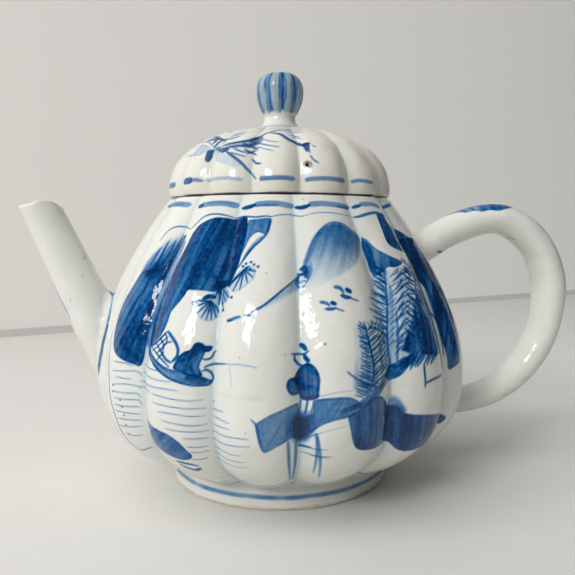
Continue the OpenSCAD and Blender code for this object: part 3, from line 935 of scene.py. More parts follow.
BOAT = {
    "hull": Wash(
        [149.5,346, 152,354, 158,362, 166,367.5, 176,371, 188,374, 200,376, 208,379, 213,380.5, 210,384.5,
         201,386, 190,384.5, 178,382, 167,377.5, 157,370, 151.5,361, 148.5,352], 0.5, 0.56, 0.2, 60, 0.22),
    "hull_keel": Stroke([149,352, 152,362, 159,371, 169,378.5, 182,383.5, 196,386, 210,385], 0.42, 0.9),
    "hull_shade": Stroke([186,377, 196,380, 206,381], 2.0, 0.6),
    "bow": Stroke([202,371, 207,370, 211.5,373, 213.5,378, 210,383], 0.6, 0.75),
    "basket_rim": Stroke(
        [168,331, 172,337, 176,343.5, 178,350, 176.5,357, 171.5,362], 0.85, 0.75, 0.1, 0.1),
    "basket_hoop": Stroke(
        [171,362, 166,360, 162.5,354, 163,347, 167,342.5, 172,342], 0.55, 0.55, 0.1, 0.1),
    "basket_weave": [
        Stroke([168,331, 161,338, 155,344, 150,346], 0.6, 0.85),
        *strokes(0.42, 0.8, [168,337, 163,341, 157,347, 152,351], [167,343, 162,348, 156,354],
            [164,352, 160,356, 157,360], [165,333, 167,338, 166,344], [160,338, 163,343, 164,350]),
        *strokes(0.45, 0.8, [156,342, 160,350, 165,358, 171,364], [152,346, 157,354, 163,361, 169,367]),
        Stroke([150,349, 154,358, 160,365, 167,371], 0.5, 0.7),
    ],
}

# Ripples, each a thin level stroke from its left end to its right end, lobe by lobe
RIPPLES = {
    "first_lobe": [
        [113,361, 124,363, 133,366], [112,370.5, 125,371, 137,371.5, 143,376], [115,376, 122,378, 131,379],
        [112,384, 124,384, 137,386, 142,389], [112,390.5, 124,393, 137,393.5, 141,398],
        [114,397.5, 126,399.5, 138,400, 142,405], [114,404, 127,406.5, 141,406.5],
        [115,410, 128,413, 141,414.5], [117,417.5, 130,420, 143,420], [119,425, 131,427, 143,426],
        [125,433, 134,435.5, 143,435],
    ],
    "second_lobe": [
        [144,364, 151,369, 158,371], [143,372, 151,378, 162,381, 172,382],
        [141,381, 150,386, 164,389, 178,391], [140,386.5, 148,391, 150,393],
        [151,393, 166,398, 186,401, 203,400], [152,402, 168,406.5, 188,409, 206,408],
        [157,411, 172,414, 190,416.5, 207,415.5], [160,420, 175,424, 192,426, 207,424],
        [165,428.5, 180,431.5, 196,432, 209,430.5], [182,438.5, 196,439, 209,437.5],
        [187,447, 198,447.5, 208,446], [190,452.5, 200,452.5, 209,450.5],
        [191,459.5, 201,459.5, 208,457.5],
    ],
    "third_lobe": [
        [213,400.5, 214.5,402], [212.5,408.5, 218,410.5, 223,412], [213,416, 221,420, 229,424],
        [212.5,424, 220,427, 230,430], [212,431, 224,436, 237,438.5, 249,440],
        [212,438, 222,443.5, 236,446.5, 250,447], [214,446, 222,450.5, 232,455, 241,456],
        [215,451.5, 224,457.5, 234,461.5, 245,463], [216,457, 226,463, 237,467, 248,468],
    ],
}
RIPPLE_WIDTH, RIPPLE_STRENGTH = 0.3, 0.48
# How far needles stray, in pixels, at their roots and bends, and the spans of their reach and
# strength; and how far the needles of a pine tuft bend aside
ROOT_STRAY, BEND_STRAY = 0.8, 0.7
NEEDLE_REACH, NEEDLE_PRESSURE = (0.85, 1.15), (0.8, 1.15)
TUFT_BEND = (0.4, -0.4)

BRIDGE = {
    "left_posts": strokes(0.9, 0.5, [288,441, 289,460, 289.5,481], [296,441, 295.5,458, 291.5,481],
        tapers=(0.1, 0.4)),
    "right_posts": strokes(0.8, 0.45, [316,433, 317,450, 313,473], [317,434, 320,455, 318.5,478],
        tapers=(0.1, 0.4)),
    "rails": [
        Stroke([298,445, 304,446, 311,447.5], 0.75, 0.7, 0.2, 0.4),
        Stroke([300,451, 309,454, 318,457, 330,458.5], 0.4, 0.45),
        *strokes(0.4, 0.36, [306,447, 317,449.5, 329,450], [303,440, 312,436, 324,432]),
        Stroke([311,455, 320,456.5, 332,457], 0.36, 0.36),
    ],
}

# Brown specks in the glaze, and a few small blue ones
SPOUT_SPECKS = {"large": [84,258], "small": [87,268, 82,275, 70,300]}
# Dark glaze and painted shade along the lower ends of the lobes, where they overhang the foot
LOBE_END_SHADE = {
    "lobe_end_shade": strokes(0.75, 0.85, [176,470.5, 188,476.5, 203,481, 219,483.5, 233,482],
        [237,481, 247,484, 262,487, 277,486.5, 291,483],
        [295,482.5, 308,484.5, 322,484.5, 337,481.5, 351,476], [354,476, 366,474.5, 378,472],
        tapers=(0.2, 0.2)),
}
HANDLE_SPECKS = {"large": [508,237.5, 510,238, 512,238.5, 514,239.5], "small": [441,252, 517,242]}
SHORE_DOTS = [113,385, 113,391, 120,400, 122,407, 124,415, 126,425, 129,434]
IRON_SPECKS = {
    "large": [325,344, 125,332],
    "small": [285,354.5, 266,273, 239,357.5, 425,425, 219,316, 303,199, 245,433],
}

# Short strokes on the collar under the lid, from the lobe by the spout to the one by the handle
COLLAR = {
    "first_dash": [
        Stroke([168,206, 177,204, 191,205], 2.0, 0.4, 0.05, 0.05),
        Stroke([168,206, 176,204.5, 184,204.5], 1.0, 0.3, 0.1, 0.3),
    ],
    "second_dash": [
        Stroke([201,205.5, 212,203.5, 226,203.5, 238,206], 2.0, 0.4, 0.05, 0.05),
        Stroke([199,206.5, 203,205.5], 1.5, 0.75, 0.2, 0.2),
        Stroke([206,203, 220,202, 236,204], 0.4, 0.25, 0.1, 0.1),
    ],
    "third_dash": [
        Stroke([256,204.5, 264,203.5, 278,203.5, 293,206.5], 2.0, 0.4, 0.05, 0.05),
        Stroke([242,208.5, 249,207, 256,204.5], 1.4, 0.85, 0.3, 0.3),
        Stroke([258,205.5, 270,205, 280,205.5], 0.7, 0.3, 0.1, 0.4),
    ],
    "fourth_dash": [
        Stroke([310,204.5, 320,203.5, 334,204.5, 349,207.5], 2.0, 0.4, 0.05, 0.05),
        Stroke([295,207.5, 302,207.5, 310,205], 1.3, 0.88, 0.3, 0.3),
        Stroke([334,206, 342,207, 349,208.5], 0.8, 0.35, 0.4, 0.1),
    ],
    "fifth_dash": [
        Stroke([360,204.5, 370,204, 380,207], 1.7, 0.4, 0.05, 0.1),
        Stroke([352,208, 356,206.5, 361,205], 1.1, 0.75, 0.3, 0.3),
    ],
    "sixth_dash": Stroke([384,208.5, 388,205.5, 393,203.5], 1.2, 0.6, 0.2, 0.2),
}

# --- The painting on the lid, the spout and the handle ---

# A pine bough over a low rock, and the branch of another tree across the next lobe
LID_BOUGH = {
    "tufts": [
        Stroke([203,142, 212,138.5, 221,136], 0.8, 0.85, 0.3, 0.3),
        Stroke([206,139, 213,137.5, 220,139], 0.7, 0.85, 0.3, 0.3),
        Stroke([214,135.5, 219,138, 223,142], 0.7, 0.8, 0.3, 0.3),
        Stroke([208,141, 215,139.5, 222,139], 1.3, 0.9, 0.3, 0.3),
        Stroke([213,144, 216,140.5, 218,137], 0.8, 0.8, 0.3, 0.3),
        Stroke([225,140, 232,138.5, 240,136], 0.9, 0.75, 0.3, 0.3),
        Stroke([229,132.5, 231,131.5], 0.9, 0.8, 0.3, 0.3),
    ],
    "bough": [
        *strokes(0.8, 0.75, [214,148, 222,140.5, 233,135.5, 245,132.5],
            [222,149, 235,146, 250,145, 258,142], tapers=(0.2, 0.4)),
        Stroke(
            [216,148, 228,144, 240,142, 252,140, 260,137, 266,133.5, 275,131, 281,129.5],
            1.0, 0.85, 0.2, 0.4),
    ],
    "bough_wash": Wash(
        [221,147, 230,142.5, 242,140, 254,137.5, 263,135, 262,140, 254,145, 240,147.5, 228,149.5],
        0.28, 0.24, 0.35, 70, 0),
    "bough_shade": Wash([250,139, 256,137, 263,136.5, 262,142, 255,146, 250,145], 0.48, 0.42, 0.25),
    "fine_needles": [
        Stroke([222,143, 230,137, 240,133, 262,132], 0.32, 0.7),
        Stroke([228,138, 236,135.5, 245,134], 0.4, 0.75),
        Stroke([243,143, 250,146, 258,149], 0.7, 0.8),
        Stroke([244,149, 250,152, 257,155], 0.6, 0.75),
        Stroke([247,154, 252,152, 258,150], 0.5, 0.7),
        Stroke([262,139, 270,141, 279,142], 0.34, 0.7),
        Stroke([258,147, 266,149, 274,151], 0.34, 0.6),
    ],
    "needles": [
        Stroke([240,145, 246,147, 253,147], 0.6, 0.7),
        Stroke([253,142, 262,144, 270,145.5, 280,147], 0.5, 0.7, 0.2, 0.5),
        Stroke([254,150, 257,148, 260,147], 0.5, 0.6),
        *strokes(0.5, 0.55, [230,152, 238,154.5, 246,157], [234,149, 242,151.5, 250,153]),
        Stroke([232,146, 238,150, 243,152], 0.4, 0.5),
    ],
    "wedge": Wash([215,149, 222,148, 229,148.5, 227,151, 222,152.5, 218,151], 0.8, 0.8, 0.15),
}
LID_ROCK = {
    "rock_edge": Stroke([183,155, 190,150, 196,145, 201,142, 207,142, 212,145, 215,148], 0.45, 0.55),
    "rock_side": Stroke([174,166, 181,156, 190,147, 200,141], 0.6, 0.7),
    "rock_stone": Wash(
        [207,151, 211,149.5, 214.5,150, 213,154, 212,158, 208.5,162, 205,160, 206,155], 0.72, 0.72, 0.2),
    "rock_haze": Wash([186,156, 192,151, 199,146, 206,145, 211,148, 205,152, 196,156], 0.22, 0.2, 0.3),
    "slope": Stroke([226,151, 238,160, 248,170, 256,179], 0.9, 0.72, 0.1, 0.8),
    "slope_haze": Wash(
        [214,150, 222,152, 232,158, 240,163, 236,167, 225,164, 216,160], 0.12, 0.12, 0.3, 0, 0.02),
    "grass": Stroke([252,159, 256,163, 261,163.5], 0.6, 0.8, 0.2, 0.2),
}
LID_BRANCH = {
    "branch": [
        Stroke([271,133, 280,134, 288,139, 295,142.5, 302,145, 307,143], 1.3, 0.85, 0.2, 0.3),
        Stroke([302,145, 307,143.5, 310,143], 0.9, 0.7),
        *strokes(0.6, 0.6, [308,147, 310,153], [310,155, 314,160, 319,163]),
        Stroke([312,145, 316,147], 0.5, 0.55),
    ],
    "branch_needles": [
        *strokes(0.38, 0.7, [280,131, 290,130.5, 300,131], [285,133, 295,132.5, 305,133],
            [288,135, 294,136, 300,137]),
        *strokes(0.38, 0.6, [290,137, 296,138, 303,139], [286,129.5, 291,133, 296,138]),
    ],
    "branch_leaf": Wash([302,145, 306,143.5, 309.5,144.5, 308.5,149, 307,152, 304.5,149], 0.75, 0.7, 0.15),
}
LID_BAND = {
    "left_squares": [
        Stroke([169,186.5, 172,185.5, 175,184.5], 1.7, 0.66, 0.2, 0.2),
        Stroke([184,182, 188,180.8, 191,180.2], 2.0, 0.8, 0.2, 0.2),
    ],
    "second_dash": Stroke([191,180, 197,180, 203,181], 1.2, 0.45, 0.2, 0.4),
    "third_dash": Stroke([206,180.5, 214,179, 230,178, 243,180], 1.1, 0.26, 0.1, 0.1),
    "fourth_dash": [
        Stroke([260,178.5, 268,177.8, 280,177.3, 295,179], 1.3, 0.5, 0.05, 0.05),
        Stroke([260,180, 272,179, 286,179], 0.6, 0.25, 0.1, 0.1),
    ],
    "fifth_dash": Stroke([306,180, 313,178.8, 328,178.5, 345,181], 1.3, 0.5, 0.05, 0.05),
    "sixth_dash": Stroke([351,182, 360,180.5, 373,183], 1.1, 0.5, 0.1, 0.1),
}
SPOUT_SEAM = {
    "seam": [
        Stroke([116,284, 112.5,300, 109.5,316, 105,335, 101,352, 98.5,374], 1.3, 0.74, 0.5, 0.1),
        Stroke([108,324, 104,340, 100.5,356, 98,374], 2.6, 0.6, 0.6, 0.1),
    ],
    # A dark line along the left lobe's outline as seen from the front: pooled glaze in the valley behind
    # it, and painted shade along the edge
    "side": Stroke(
        [113,330, 109,365, 110,395, 115,415, 122,432, 132,444, 141,450, 152,447], 0.42, 0.76, 0.2, 0.2),
}
SPOUT_MARKS = {
    # A faint line down the spout's right edge: painted shade
    "right_edge_shade": Stroke([71,215, 79,240, 88,265, 97,284], 0.6, 0.1),
    "outer_stroke": Stroke([53,283, 59,296, 65,308, 71,320], 0.75, 0.62),
    "outer_smear": Stroke([58,300, 64,315, 70,328], 1.4, 0.2),
}
HANDLE_MARKS = {
    "crown_stroke": Wash(
        [446,215.5, 455,211, 465,208, 475,205.5, 485,204.2, 495,204, 505,205, 513,207.5, 505,209,
         498,210.5, 490,210, 482,211.5, 474,210.5, 466,212.5, 457,212.5], 0.64, 0.78, 0.3, 80, 0.1, 0.5),
    "root_blob": Stroke([438,251, 442,252.5, 446,251], 1.4, 0.6, 0.3, 0.3),
}


# --- Materials ---

# How cobalt darkens the glaze as it gets thicker
COBALT_STEPS = [
    (0.0, (1.0, 1.0, 1.0)),
    (0.15, (0.66, 0.79, 0.93)),
    (0.35, (0.235, 0.41, 0.68)),
    (0.55, (0.06, 0.225, 0.53)),
    (0.75, (0.005, 0.112, 0.375)),
    (0.90, (0.001, 0.048, 0.20)),
    (1.0, (0.001, 0.030, 0.135)),
]

# Unevenness of a finish: its lowest and highest share, and its swells to a metre, with detail and
# roughness where they aren't the usual ones
POOL_AND_SHADE_CLOUDS = (0.7, 1.25, 60)
GLAZE_MOTTLE = (0.955, 1.035, 45, 4)
COBALT_GRAIN = (0.62, 1.36, 900, 4, 0.7)
COBALT_CLOUDS = (0.82, 1.16, 160, 3)
BARE_SPECKS = (0.93, 1.05, 1400, 2)
PLAIN_MOTTLE = (0.96, 1.03)
# Relief of a finish: its swells to a metre and their height in metres
GLAZE_WAVES = ((62, 0.0012), (230, 0.00022), (520, 0.00006))
BARE_GRAIN = (1500, 0.00008)
GLAZE_IOR = 1.5
GLAZE_SHINE = 0.4
# Roughness where the glaze is so thin that the clay shows
THIN_GLAZE_ROUGHNESS = 0.5
BARE_ROUGHNESS = 0.72
# The bare clay's darker clouds: their brightness, and their swells to a metre, detail and roughness
BARE_SHADE = 0.9
BARE_CLOUDS = (180, 5, 0.6)


class Shader:
    """A new material and short ways to add its nodes."""

    def __init__(self, name):
        self.material = bpy.data.materials.new(name)
        self.material.use_nodes = True
        self.nodes = self.material.node_tree.nodes
        self.surface = self.nodes["Principled BSDF"]

    def feed(self, node, inputs):
        """Links outputs, or sets values, on a node's inputs by their name or number."""
        for socket, source in inputs.items():
            if isinstance(source, bpy.types.NodeSocket):
                self.material.node_tree.links.new(source, node.inputs[socket])
            else:
                node.inputs[socket].default_value = source

    def add(self, kind, inputs, output=0, **settings):
        """Adds a node and gives one of its outputs."""
        node = self.nodes.new("ShaderNode" + kind)
        for key, value in settings.items():
            setattr(node, key, value)
        self.feed(node, inputs)
        return node.outputs[output]

    def share(self, name):
        """What was laid on the mesh in a layer."""
        return self.add("Attribute", {}, "Fac", attribute_name=name)

    def noise(self, scale, detail=3.0, roughness=0.5):
        """Noise over the object, with scale in swells to a metre."""
        place = self.add("TexCoord", {}, "Object")
        inputs = {"Vector": place, "Scale": scale, "Detail": detail, "Roughness": roughness}
        return self.add("TexNoise", inputs, "Fac")

    def times(self, a, b, clamp=False):
        return self.add("Math", {0: a, 1: b}, operation="MULTIPLY", use_clamp=clamp)

    def span(self, value, low, high):
        """A value from 0 to 1, spread to run from low to high."""
        return self.add("MapRange", {"Value": value, "To Min": low, "To Max": high}, "Result")

    def uneven(self, low, high, *noise):
        """Noise spread to run from low to high."""
        return self.span(self.noise(*noise), low, high)

    def blend(self, share, a, b, how="MIX"):
        inputs = {0: share, 6: a, 7: b}
        return self.add("Mix", inputs, 2, data_type="RGBA", blend_type=how, clamp_factor=True)

    def ramp(self, value, steps):
        colours = self.add("ValToRGB", {"Fac": value}, "Color")
        elements = colours.node.color_ramp.elements
        while len(elements) < len(steps):
            elements.new(0.5)
        for element, (place, colour) in zip(elements, steps):
            element.position = place
            element.color = opaque(colour)
        return colours

    def bump(self, height, distance, below=None):
        under = {"Normal": below} if below else {}
        return self.add("Bump", {"Height": height, "Distance": distance, **under}, "Normal")

    def finish(self, colour, roughness, normal=None):
        """Gives the surface its colour, roughness and relief."""
        relief = {"Normal": normal} if normal else {}
        self.feed(self.surface, {"Base Color": colour, "Roughness": roughness, **relief})
        return self.material


def opaque(colour):
    return (*colour, 1)


def glazed_porcelain(decoration):
    """White porcelain with cobalt painting under a clear glaze."""
    known = bpy.data.materials.get("Glazed Porcelain")
    if known:
        return known
    shader = Shader("Glazed Porcelain")
    # Pooled glaze and painted shade tint and darken the glaze in valleys and joints
    pool = shader.times(shader.share("pool"), shader.uneven(*POOL_AND_SHADE_CLOUDS))
    colour = shader.blend(pool, opaque(decoration.glaze), opaque(decoration.pooled_glaze_and_shade))
    colour = shader.blend(1.0, colour, shader.uneven(*GLAZE_MOTTLE), "MULTIPLY")
    grain = shader.uneven(*COBALT_GRAIN)
    cloud = shader.uneven(*COBALT_CLOUDS)
    cobalt = shader.times(shader.share("cobalt"), shader.times(grain, cloud))
    cobalt = shader.times(cobalt, decoration.cobalt_strength, clamp=True)
    colour = shader.blend(1.0, colour, shader.ramp(cobalt, COBALT_STEPS), "MULTIPLY")
    bare = shader.share("bare")
    colour = shader.blend(bare, colour, opaque(decoration.bare_clay))
    colour = shader.blend(shader.share("iron"), colour, opaque(decoration.iron))
    roughness = shader.span(bare, decoration.gloss_roughness, THIN_GLAZE_ROUGHNESS)
    relief = None
    for swells, height in GLAZE_WAVES:
        relief = shader.bump(shader.noise(swells, 2), height, relief)
    shader.feed(shader.surface, {"IOR": GLAZE_IOR, "Specular IOR Level": GLAZE_SHINE})
    return shader.finish(colour, roughness, relief)


def bare_porcelain(decoration):
    """Dry porcelain, wiped free of glaze before the firing."""
    known = bpy.data.materials.get("Bare Porcelain")
    if known:
        return known
    shader = Shader("Bare Porcelain")
    dark = opaque([BARE_SHADE * part for part in decoration.bare_clay])
    colour = shader.blend(shader.noise(*BARE_CLOUDS), opaque(decoration.bare_clay), dark)
    colour = shader.blend(1.0, colour, shader.uneven(*BARE_SPECKS), "MULTIPLY")
    swells, height = BARE_GRAIN
    return shader.finish(colour, BARE_ROUGHNESS, shader.bump(shader.noise(swells, 4), height))


def plain(name, colour, roughness, swells):
    """A matt surface with a faint mottle."""
    shader = Shader(name)
    mottle = shader.uneven(*PLAIN_MOTTLE, swells, 5, 0.6)
    return shader.finish(shader.blend(1.0, opaque(colour), mottle, "MULTIPLY"), roughness)


# --- Body and foot ---

STRAINER_HOLE_D = 3.4
STRAINER_PITCH = 5.0
# Depth and spread of the faint level groove where the two halves were luted together
SEAM_DEPTH, SEAM_SPREAD = 0.13, 0.9
# How far below the seat the painted face ends, and how far inwards the seat is level
SEAT_EDGE_DROP, SEAT_EDGE_WIDTH = 0.7, 0.9
# The rounded edge of the mouth: outwards of its bore, and down
MOUTH_EDGE = ((0.5, 0), (0.14, 0.14), (0, 0.5))
# Rows of the body's inner face, in its lower and upper half, and how round its floor is
INNER_ROWS = (24, 30)
FLOOR_CURVE = 1.5
# Pooled glaze and painted shade along a valley: strength and spread, in half lobes, of a line and of a
# soft band
POOL_AND_SHADE_LINE, POOL_AND_SHADE_LINE_SPREAD = 0.65, 0.1
POOL_AND_SHADE_BAND, POOL_AND_SHADE_BAND_SPREAD = 0.35, 0.34
# A thin darker line along each valley, laid in cobalt: spread, in half lobes, strength, how far that
# comes and goes, and how much stronger it gets near the foot
VALLEY_SPREAD = 0.026
VALLEY_COBALT, VALLEY_TORN, VALLEY_LOW = 0.06, 0.1, 0.15
VALLEY_IRON = 0.5
# Height at which the valley lines start to darken towards the foot, and over which that grows
LOW_TOP, LOW_BLEND = 30, 22
# Dark glaze and painted shade in the joint over the foot, under the lobes' ends: iron, cobalt, spread,
# and how far up it is kept
JOINT_SHADE_IRON, JOINT_SHADE_COBALT, JOINT_SPREAD, JOINT_TOP = 0.6, 0.36, 0.8, 0.9
# Brown glaze along the seat's edge, darkened with cobalt into painted shade of the gap under the lid:
# iron, height and the height over which it comes
SEAT_GAP_SHADE_IRON, SEAT_LINE, SEAT_BLEND = 0.65, 0.6, 0.2
BACK_FADE = 0.9
SPECKS = (("large", 0.62), ("small", 0.3))
SPECK_RUN = (0.6, 0.4)


def step_of(sizes):
    return sizes.mesh_step / MM * 1


def runs_along(radii, heights):
    return np.concatenate([[0], np.cumsum(np.hypot(np.diff(radii), np.diff(heights)))])


def glaze_pool_and_shade_in_valleys(angles, rows, line):
    """Share of pooled glaze and painted shade: most along the valley bottoms."""
    near = 1 - np.abs(place_across(angles))
    share = line * bell(near, POOL_AND_SHADE_LINE_SPREAD) + POOL_AND_SHADE_BAND * bell(near, POOL_AND_SHADE_BAND_SPREAD)
    return np.broadcast_to(share, (rows, len(angles)))


def speckle(ground, marks):
    """Dots of iron in the glaze, at pixels of the drawing view."""
    for name, width in SPECKS:
        for spot in pairs(marks[name]):
            ground.brush(ground.drop([spot, spot + SPECK_RUN]), width, 1.0, 0.4, 0.4, "iron")


def fir_needles(rows):
    """One stroke for every needle of the trees that are drawn as rows of needles."""
    rng = np.random.default_rng(7)
    needles = {}
    for name, (trunk, first, last, count, width, strength) in rows.items():
        line = smooth_line(pairs(trunk), 12)
        marks = []
        for share in np.linspace(0, 1, count):
            start = line[int(share * (len(line) - 1))] + rng.uniform(-ROOT_STRAY, ROOT_STRAY, 2)
            reach = [mix(first[i], last[i], share) * rng.uniform(*NEEDLE_REACH) for i in (0, 1)]
            bend = start + np.divide(reach, 2) + rng.uniform(-BEND_STRAY, BEND_STRAY, 2)
            brushed = strength * rng.uniform(*NEEDLE_PRESSURE)
            marks.append(Stroke([start + reach, bend, start], width, brushed, 0.5, 0.2))
        needles[name] = marks
    return needles


def pine_needles(tufts):
    """Strokes from the middle of each tuft out to its needle tips."""
    needles = {}
    for name, spots in tufts.items():
        root, *tips = pairs(spots)
        paths = [[root, mix(root, tip, 0.55) + TUFT_BEND, tip] for tip in tips]
        needles[name] = strokes(0.42, 0.8, *paths, tapers=(0.2, 0.5))
    return needles


def dots(spots, width, strength):
    paths = [[x - 0.5, y, x + 0.6, y + 0.3] for x, y in pairs(spots)]
    return {"dots": strokes(width, strength, *paths, tapers=(0.4, 0.4))}


def ripples(lobes):
    brush = RIPPLE_WIDTH, RIPPLE_STRENGTH
    return {name: strokes(*brush, *paths, tapers=(0.15, 0.3)) for name, paths in lobes.items()}


def landscape():
    """Every motif of the river landscape, in the order in which they are painted."""
    haze = {"tree_haze": TREES["tree_haze"]}
    over_firs = {name: marks for name, marks in TREES.items() if name not in haze}
    tufts, dotted = pine_needles(PINE_TUFTS), dots(PINE_DOTS, 0.75, 0.75)
    hill_side = (COLLAR, OUTLINES, ROCKS, PINE_FANS, tufts, PINE_KNOTS, dotted, HILL, BIRDS, BLUFF)
    water_side = (SHORE, ripples(RIPPLES), dots(SHORE_DOTS, 0.55, 0.6), SPOUT_SEAM, BRIDGE, BOAT, FIGURES)
    return (*hill_side, haze, fir_needles(FIR_ROWS), over_firs, *water_side)


# What the back of the pot goes without
BACK_WITHOUT = (
    *SPOUT_SEAM, *FIGURES, *BOAT, *BIRDS,
    "hut_frame", "hut_thatch", "hut_thatch_low", "leaf_islet", "islet_reeds",
)


def lay_out_body(body, step):
    """The body's outer surface as a ground to paint on, and its row at the belly's seam."""
    def curve(height):
        return body.crest(height), height

    lower = even_steps(curve, step, body.foot_z, body.belly_z)
    upper = even_steps(curve, step, body.belly_z, body.mouth_z - SEAT_EDGE_DROP)
    heights = np.concatenate([lower, upper[1:]])
    z = heights[:, None]
    angles = lobe_angles(round(math.tau * body.belly_r / LOBES / step))
    radii, outside = body.crest(heights), body.radius(angles, z)
    points = at(angles, outside - SEAM_DEPTH * bell(z - body.belly_z, SEAM_SPREAD), z)
    ground = Ground(angles, runs_along(radii, heights), radii, points)
    # Pooled glaze and painted shade along the body's valleys
    ground.pool[...] = glaze_pool_and_shade_in_valleys(angles, len(heights), POOL_AND_SHADE_LINE)
    torn = noise_over(angles, ground.runs, 20, 9, 41)
    lowness = climb(LOW_TOP - z, LOW_BLEND)
    line = bell(1 - np.abs(place_across(angles)), VALLEY_SPREAD)
    line = line * np.clip(VALLEY_COBALT + VALLEY_TORN * torn + VALLEY_LOW * lowness, 0, 1)
    # Dark glaze and painted shade in the joint over the foot, where the lobes end, and painted shade
    # of the lid's gap along the seat's outer edge
    flare = np.interp(heights, body.foot_z + FOOT_FLARE[:, 1], body.foot_r + FOOT_FLARE[:, 0])
    out = outside - flare[:, None]
    past_joint = out / np.maximum(np.gradient(out, ground.runs, axis=0), 0.25)
    at_joint = climb(body.foot_z + FOOT_FLARE[-1, 1] + JOINT_TOP - z, 0.3)
    joint = bell(past_joint, JOINT_SPREAD) * at_joint
    # The seat's edge gets iron and full cobalt below: painted shade of the gap under the lid
    edge = climb(z - body.mouth_z + SEAT_LINE + 0.1 * torn, SEAT_BLEND)
    low_valley_lines_and_joint_shade = np.maximum(VALLEY_IRON * line * lowness, JOINT_SHADE_IRON * joint)
    ground.iron[...] = low_valley_lines_and_joint_shade + SEAT_GAP_SHADE_IRON * edge
    ground.cobalt[...] = np.maximum(line, JOINT_SHADE_COBALT * joint) + edge
    return ground, len(lower) - 1


def build_body(sizes, decoration):
    """The two pressed halves of the body."""
    body = Body(sizes)
    ground, seam = lay_out_body(body, step_of(sizes))
    for motifs in landscape():
        ground.paint(motifs)
        ground.paint(motifs, 180, BACK_FADE, BACK_WITHOUT)
    # The lobes' lower ends get dark lines in the iron layer: glaze with painted shade
    for turn in (0, 180):
        ground.paint(LOBE_END_SHADE, turn, layer="iron")
    speckle(ground, IRON_SPECKS)
    angles, points, shares = ground.angles, ground.points, ground.shares()
    material = glazed_porcelain(decoration)

    def inner(height):
        return at(angles, body.radius(angles, height) - BODY_WALL, height)

    down = 1 - (1 - np.linspace(0, 1, INNER_ROWS[0])) ** FLOOR_CURVE
    inside = [inner(z) for z in mix(body.belly_z, body.foot_z + FLOOR, down)]
    painted = {name: layer[: seam + 1] for name, layer in shares.items()}
    lower = skin("lower_half", [*points[: seam + 1], *inside], painted)
    dress(lower, "pot", "glazed_porcelain", material, "body_lower")

    edge, corner = points[-1], at(angles, body.radius(angles, body.mouth_z), body.mouth_z)
    angle, radius = polar(corner)
    seat = at(angle, radius - SEAT_EDGE_WIDTH, body.mouth_z)
    rim = [mix(mix(edge, corner, t), mix(corner, seat, t), t) for t in (0.25, 0.5, 0.75, 1)]
    bore_z = body.mouth_z - BODY_WALL
    bore = [at(angles, MOUTH_BORE_R + out, body.mouth_z - down) for out, down in MOUTH_EDGE]
    bore.append(at(angles, MOUTH_BORE_R, bore_z))
    inside = [inner(z) for z in np.linspace(bore_z, body.belly_z, INNER_ROWS[1])]
    rows = [*points[seam:], *rim, *bore, *inside]
    painted = {
        name: np.concatenate([layer[seam:], *[layer[-1:]] * len(rim)]) for name, layer in shares.items()
    }
    upper = skin("upper_half", rows, painted, closed=True)
    middle = Vector((-body.belly_r - 1, 0, spout_root_height(body)))
    ring = [Vector((0, math.cos(turn), math.sin(turn))) for turn in np.radians(np.arange(30, 390, 60))]
    starts = [middle, *(middle + STRAINER_PITCH * out for out in ring)]
    pierce(upper, "strainer_drill", starts, (1, 0, 0), STRAINER_HOLE_D, 5 * BODY_WALL)
    dress(upper, "pot", "glazed_porcelain", material, "body_upper")


# The foot ring narrows by this much towards the table, between edges of this height
FOOT_TAPER, FOOT_EDGE = 0.4, 0.8
# The rounded edges that it stands on: outwards of its bore, or inwards of its face, and up
FOOT_INNER_EDGE = ((0, 0.9), (0.22, 0.35), (0.7, 0.1), (1.4, 0))
FOOT_OUTER_EDGE = ((1.2, 0), (0.5, 0.16), (0.12, 0.5))
# How far the ring reaches into the body, inwards and up
FOOT_GRIP = (2.5, 2.0)
# The blue line around it: strength, height and spread
FOOT_LINE, FOOT_LINE_Z, FOOT_LINE_SPREAD = 0.44, 4.1, 0.72
# The bare band at its foot: height, how far that comes and goes, and the brown line along it
FOOT_BARE_Z, FOOT_BARE_TORN, FOOT_BARE_BLEND = 0.75, 0.25, 0.3
FOOT_IRON, FOOT_IRON_SPREAD = 0.5, 0.22
# Glaze pooled under the body, with painted shade where the lobes overhang the foot: strength and height
FOOT_POOL_AND_SHADE, FOOT_POOL_AND_SHADE_H = 0.8, 1.6


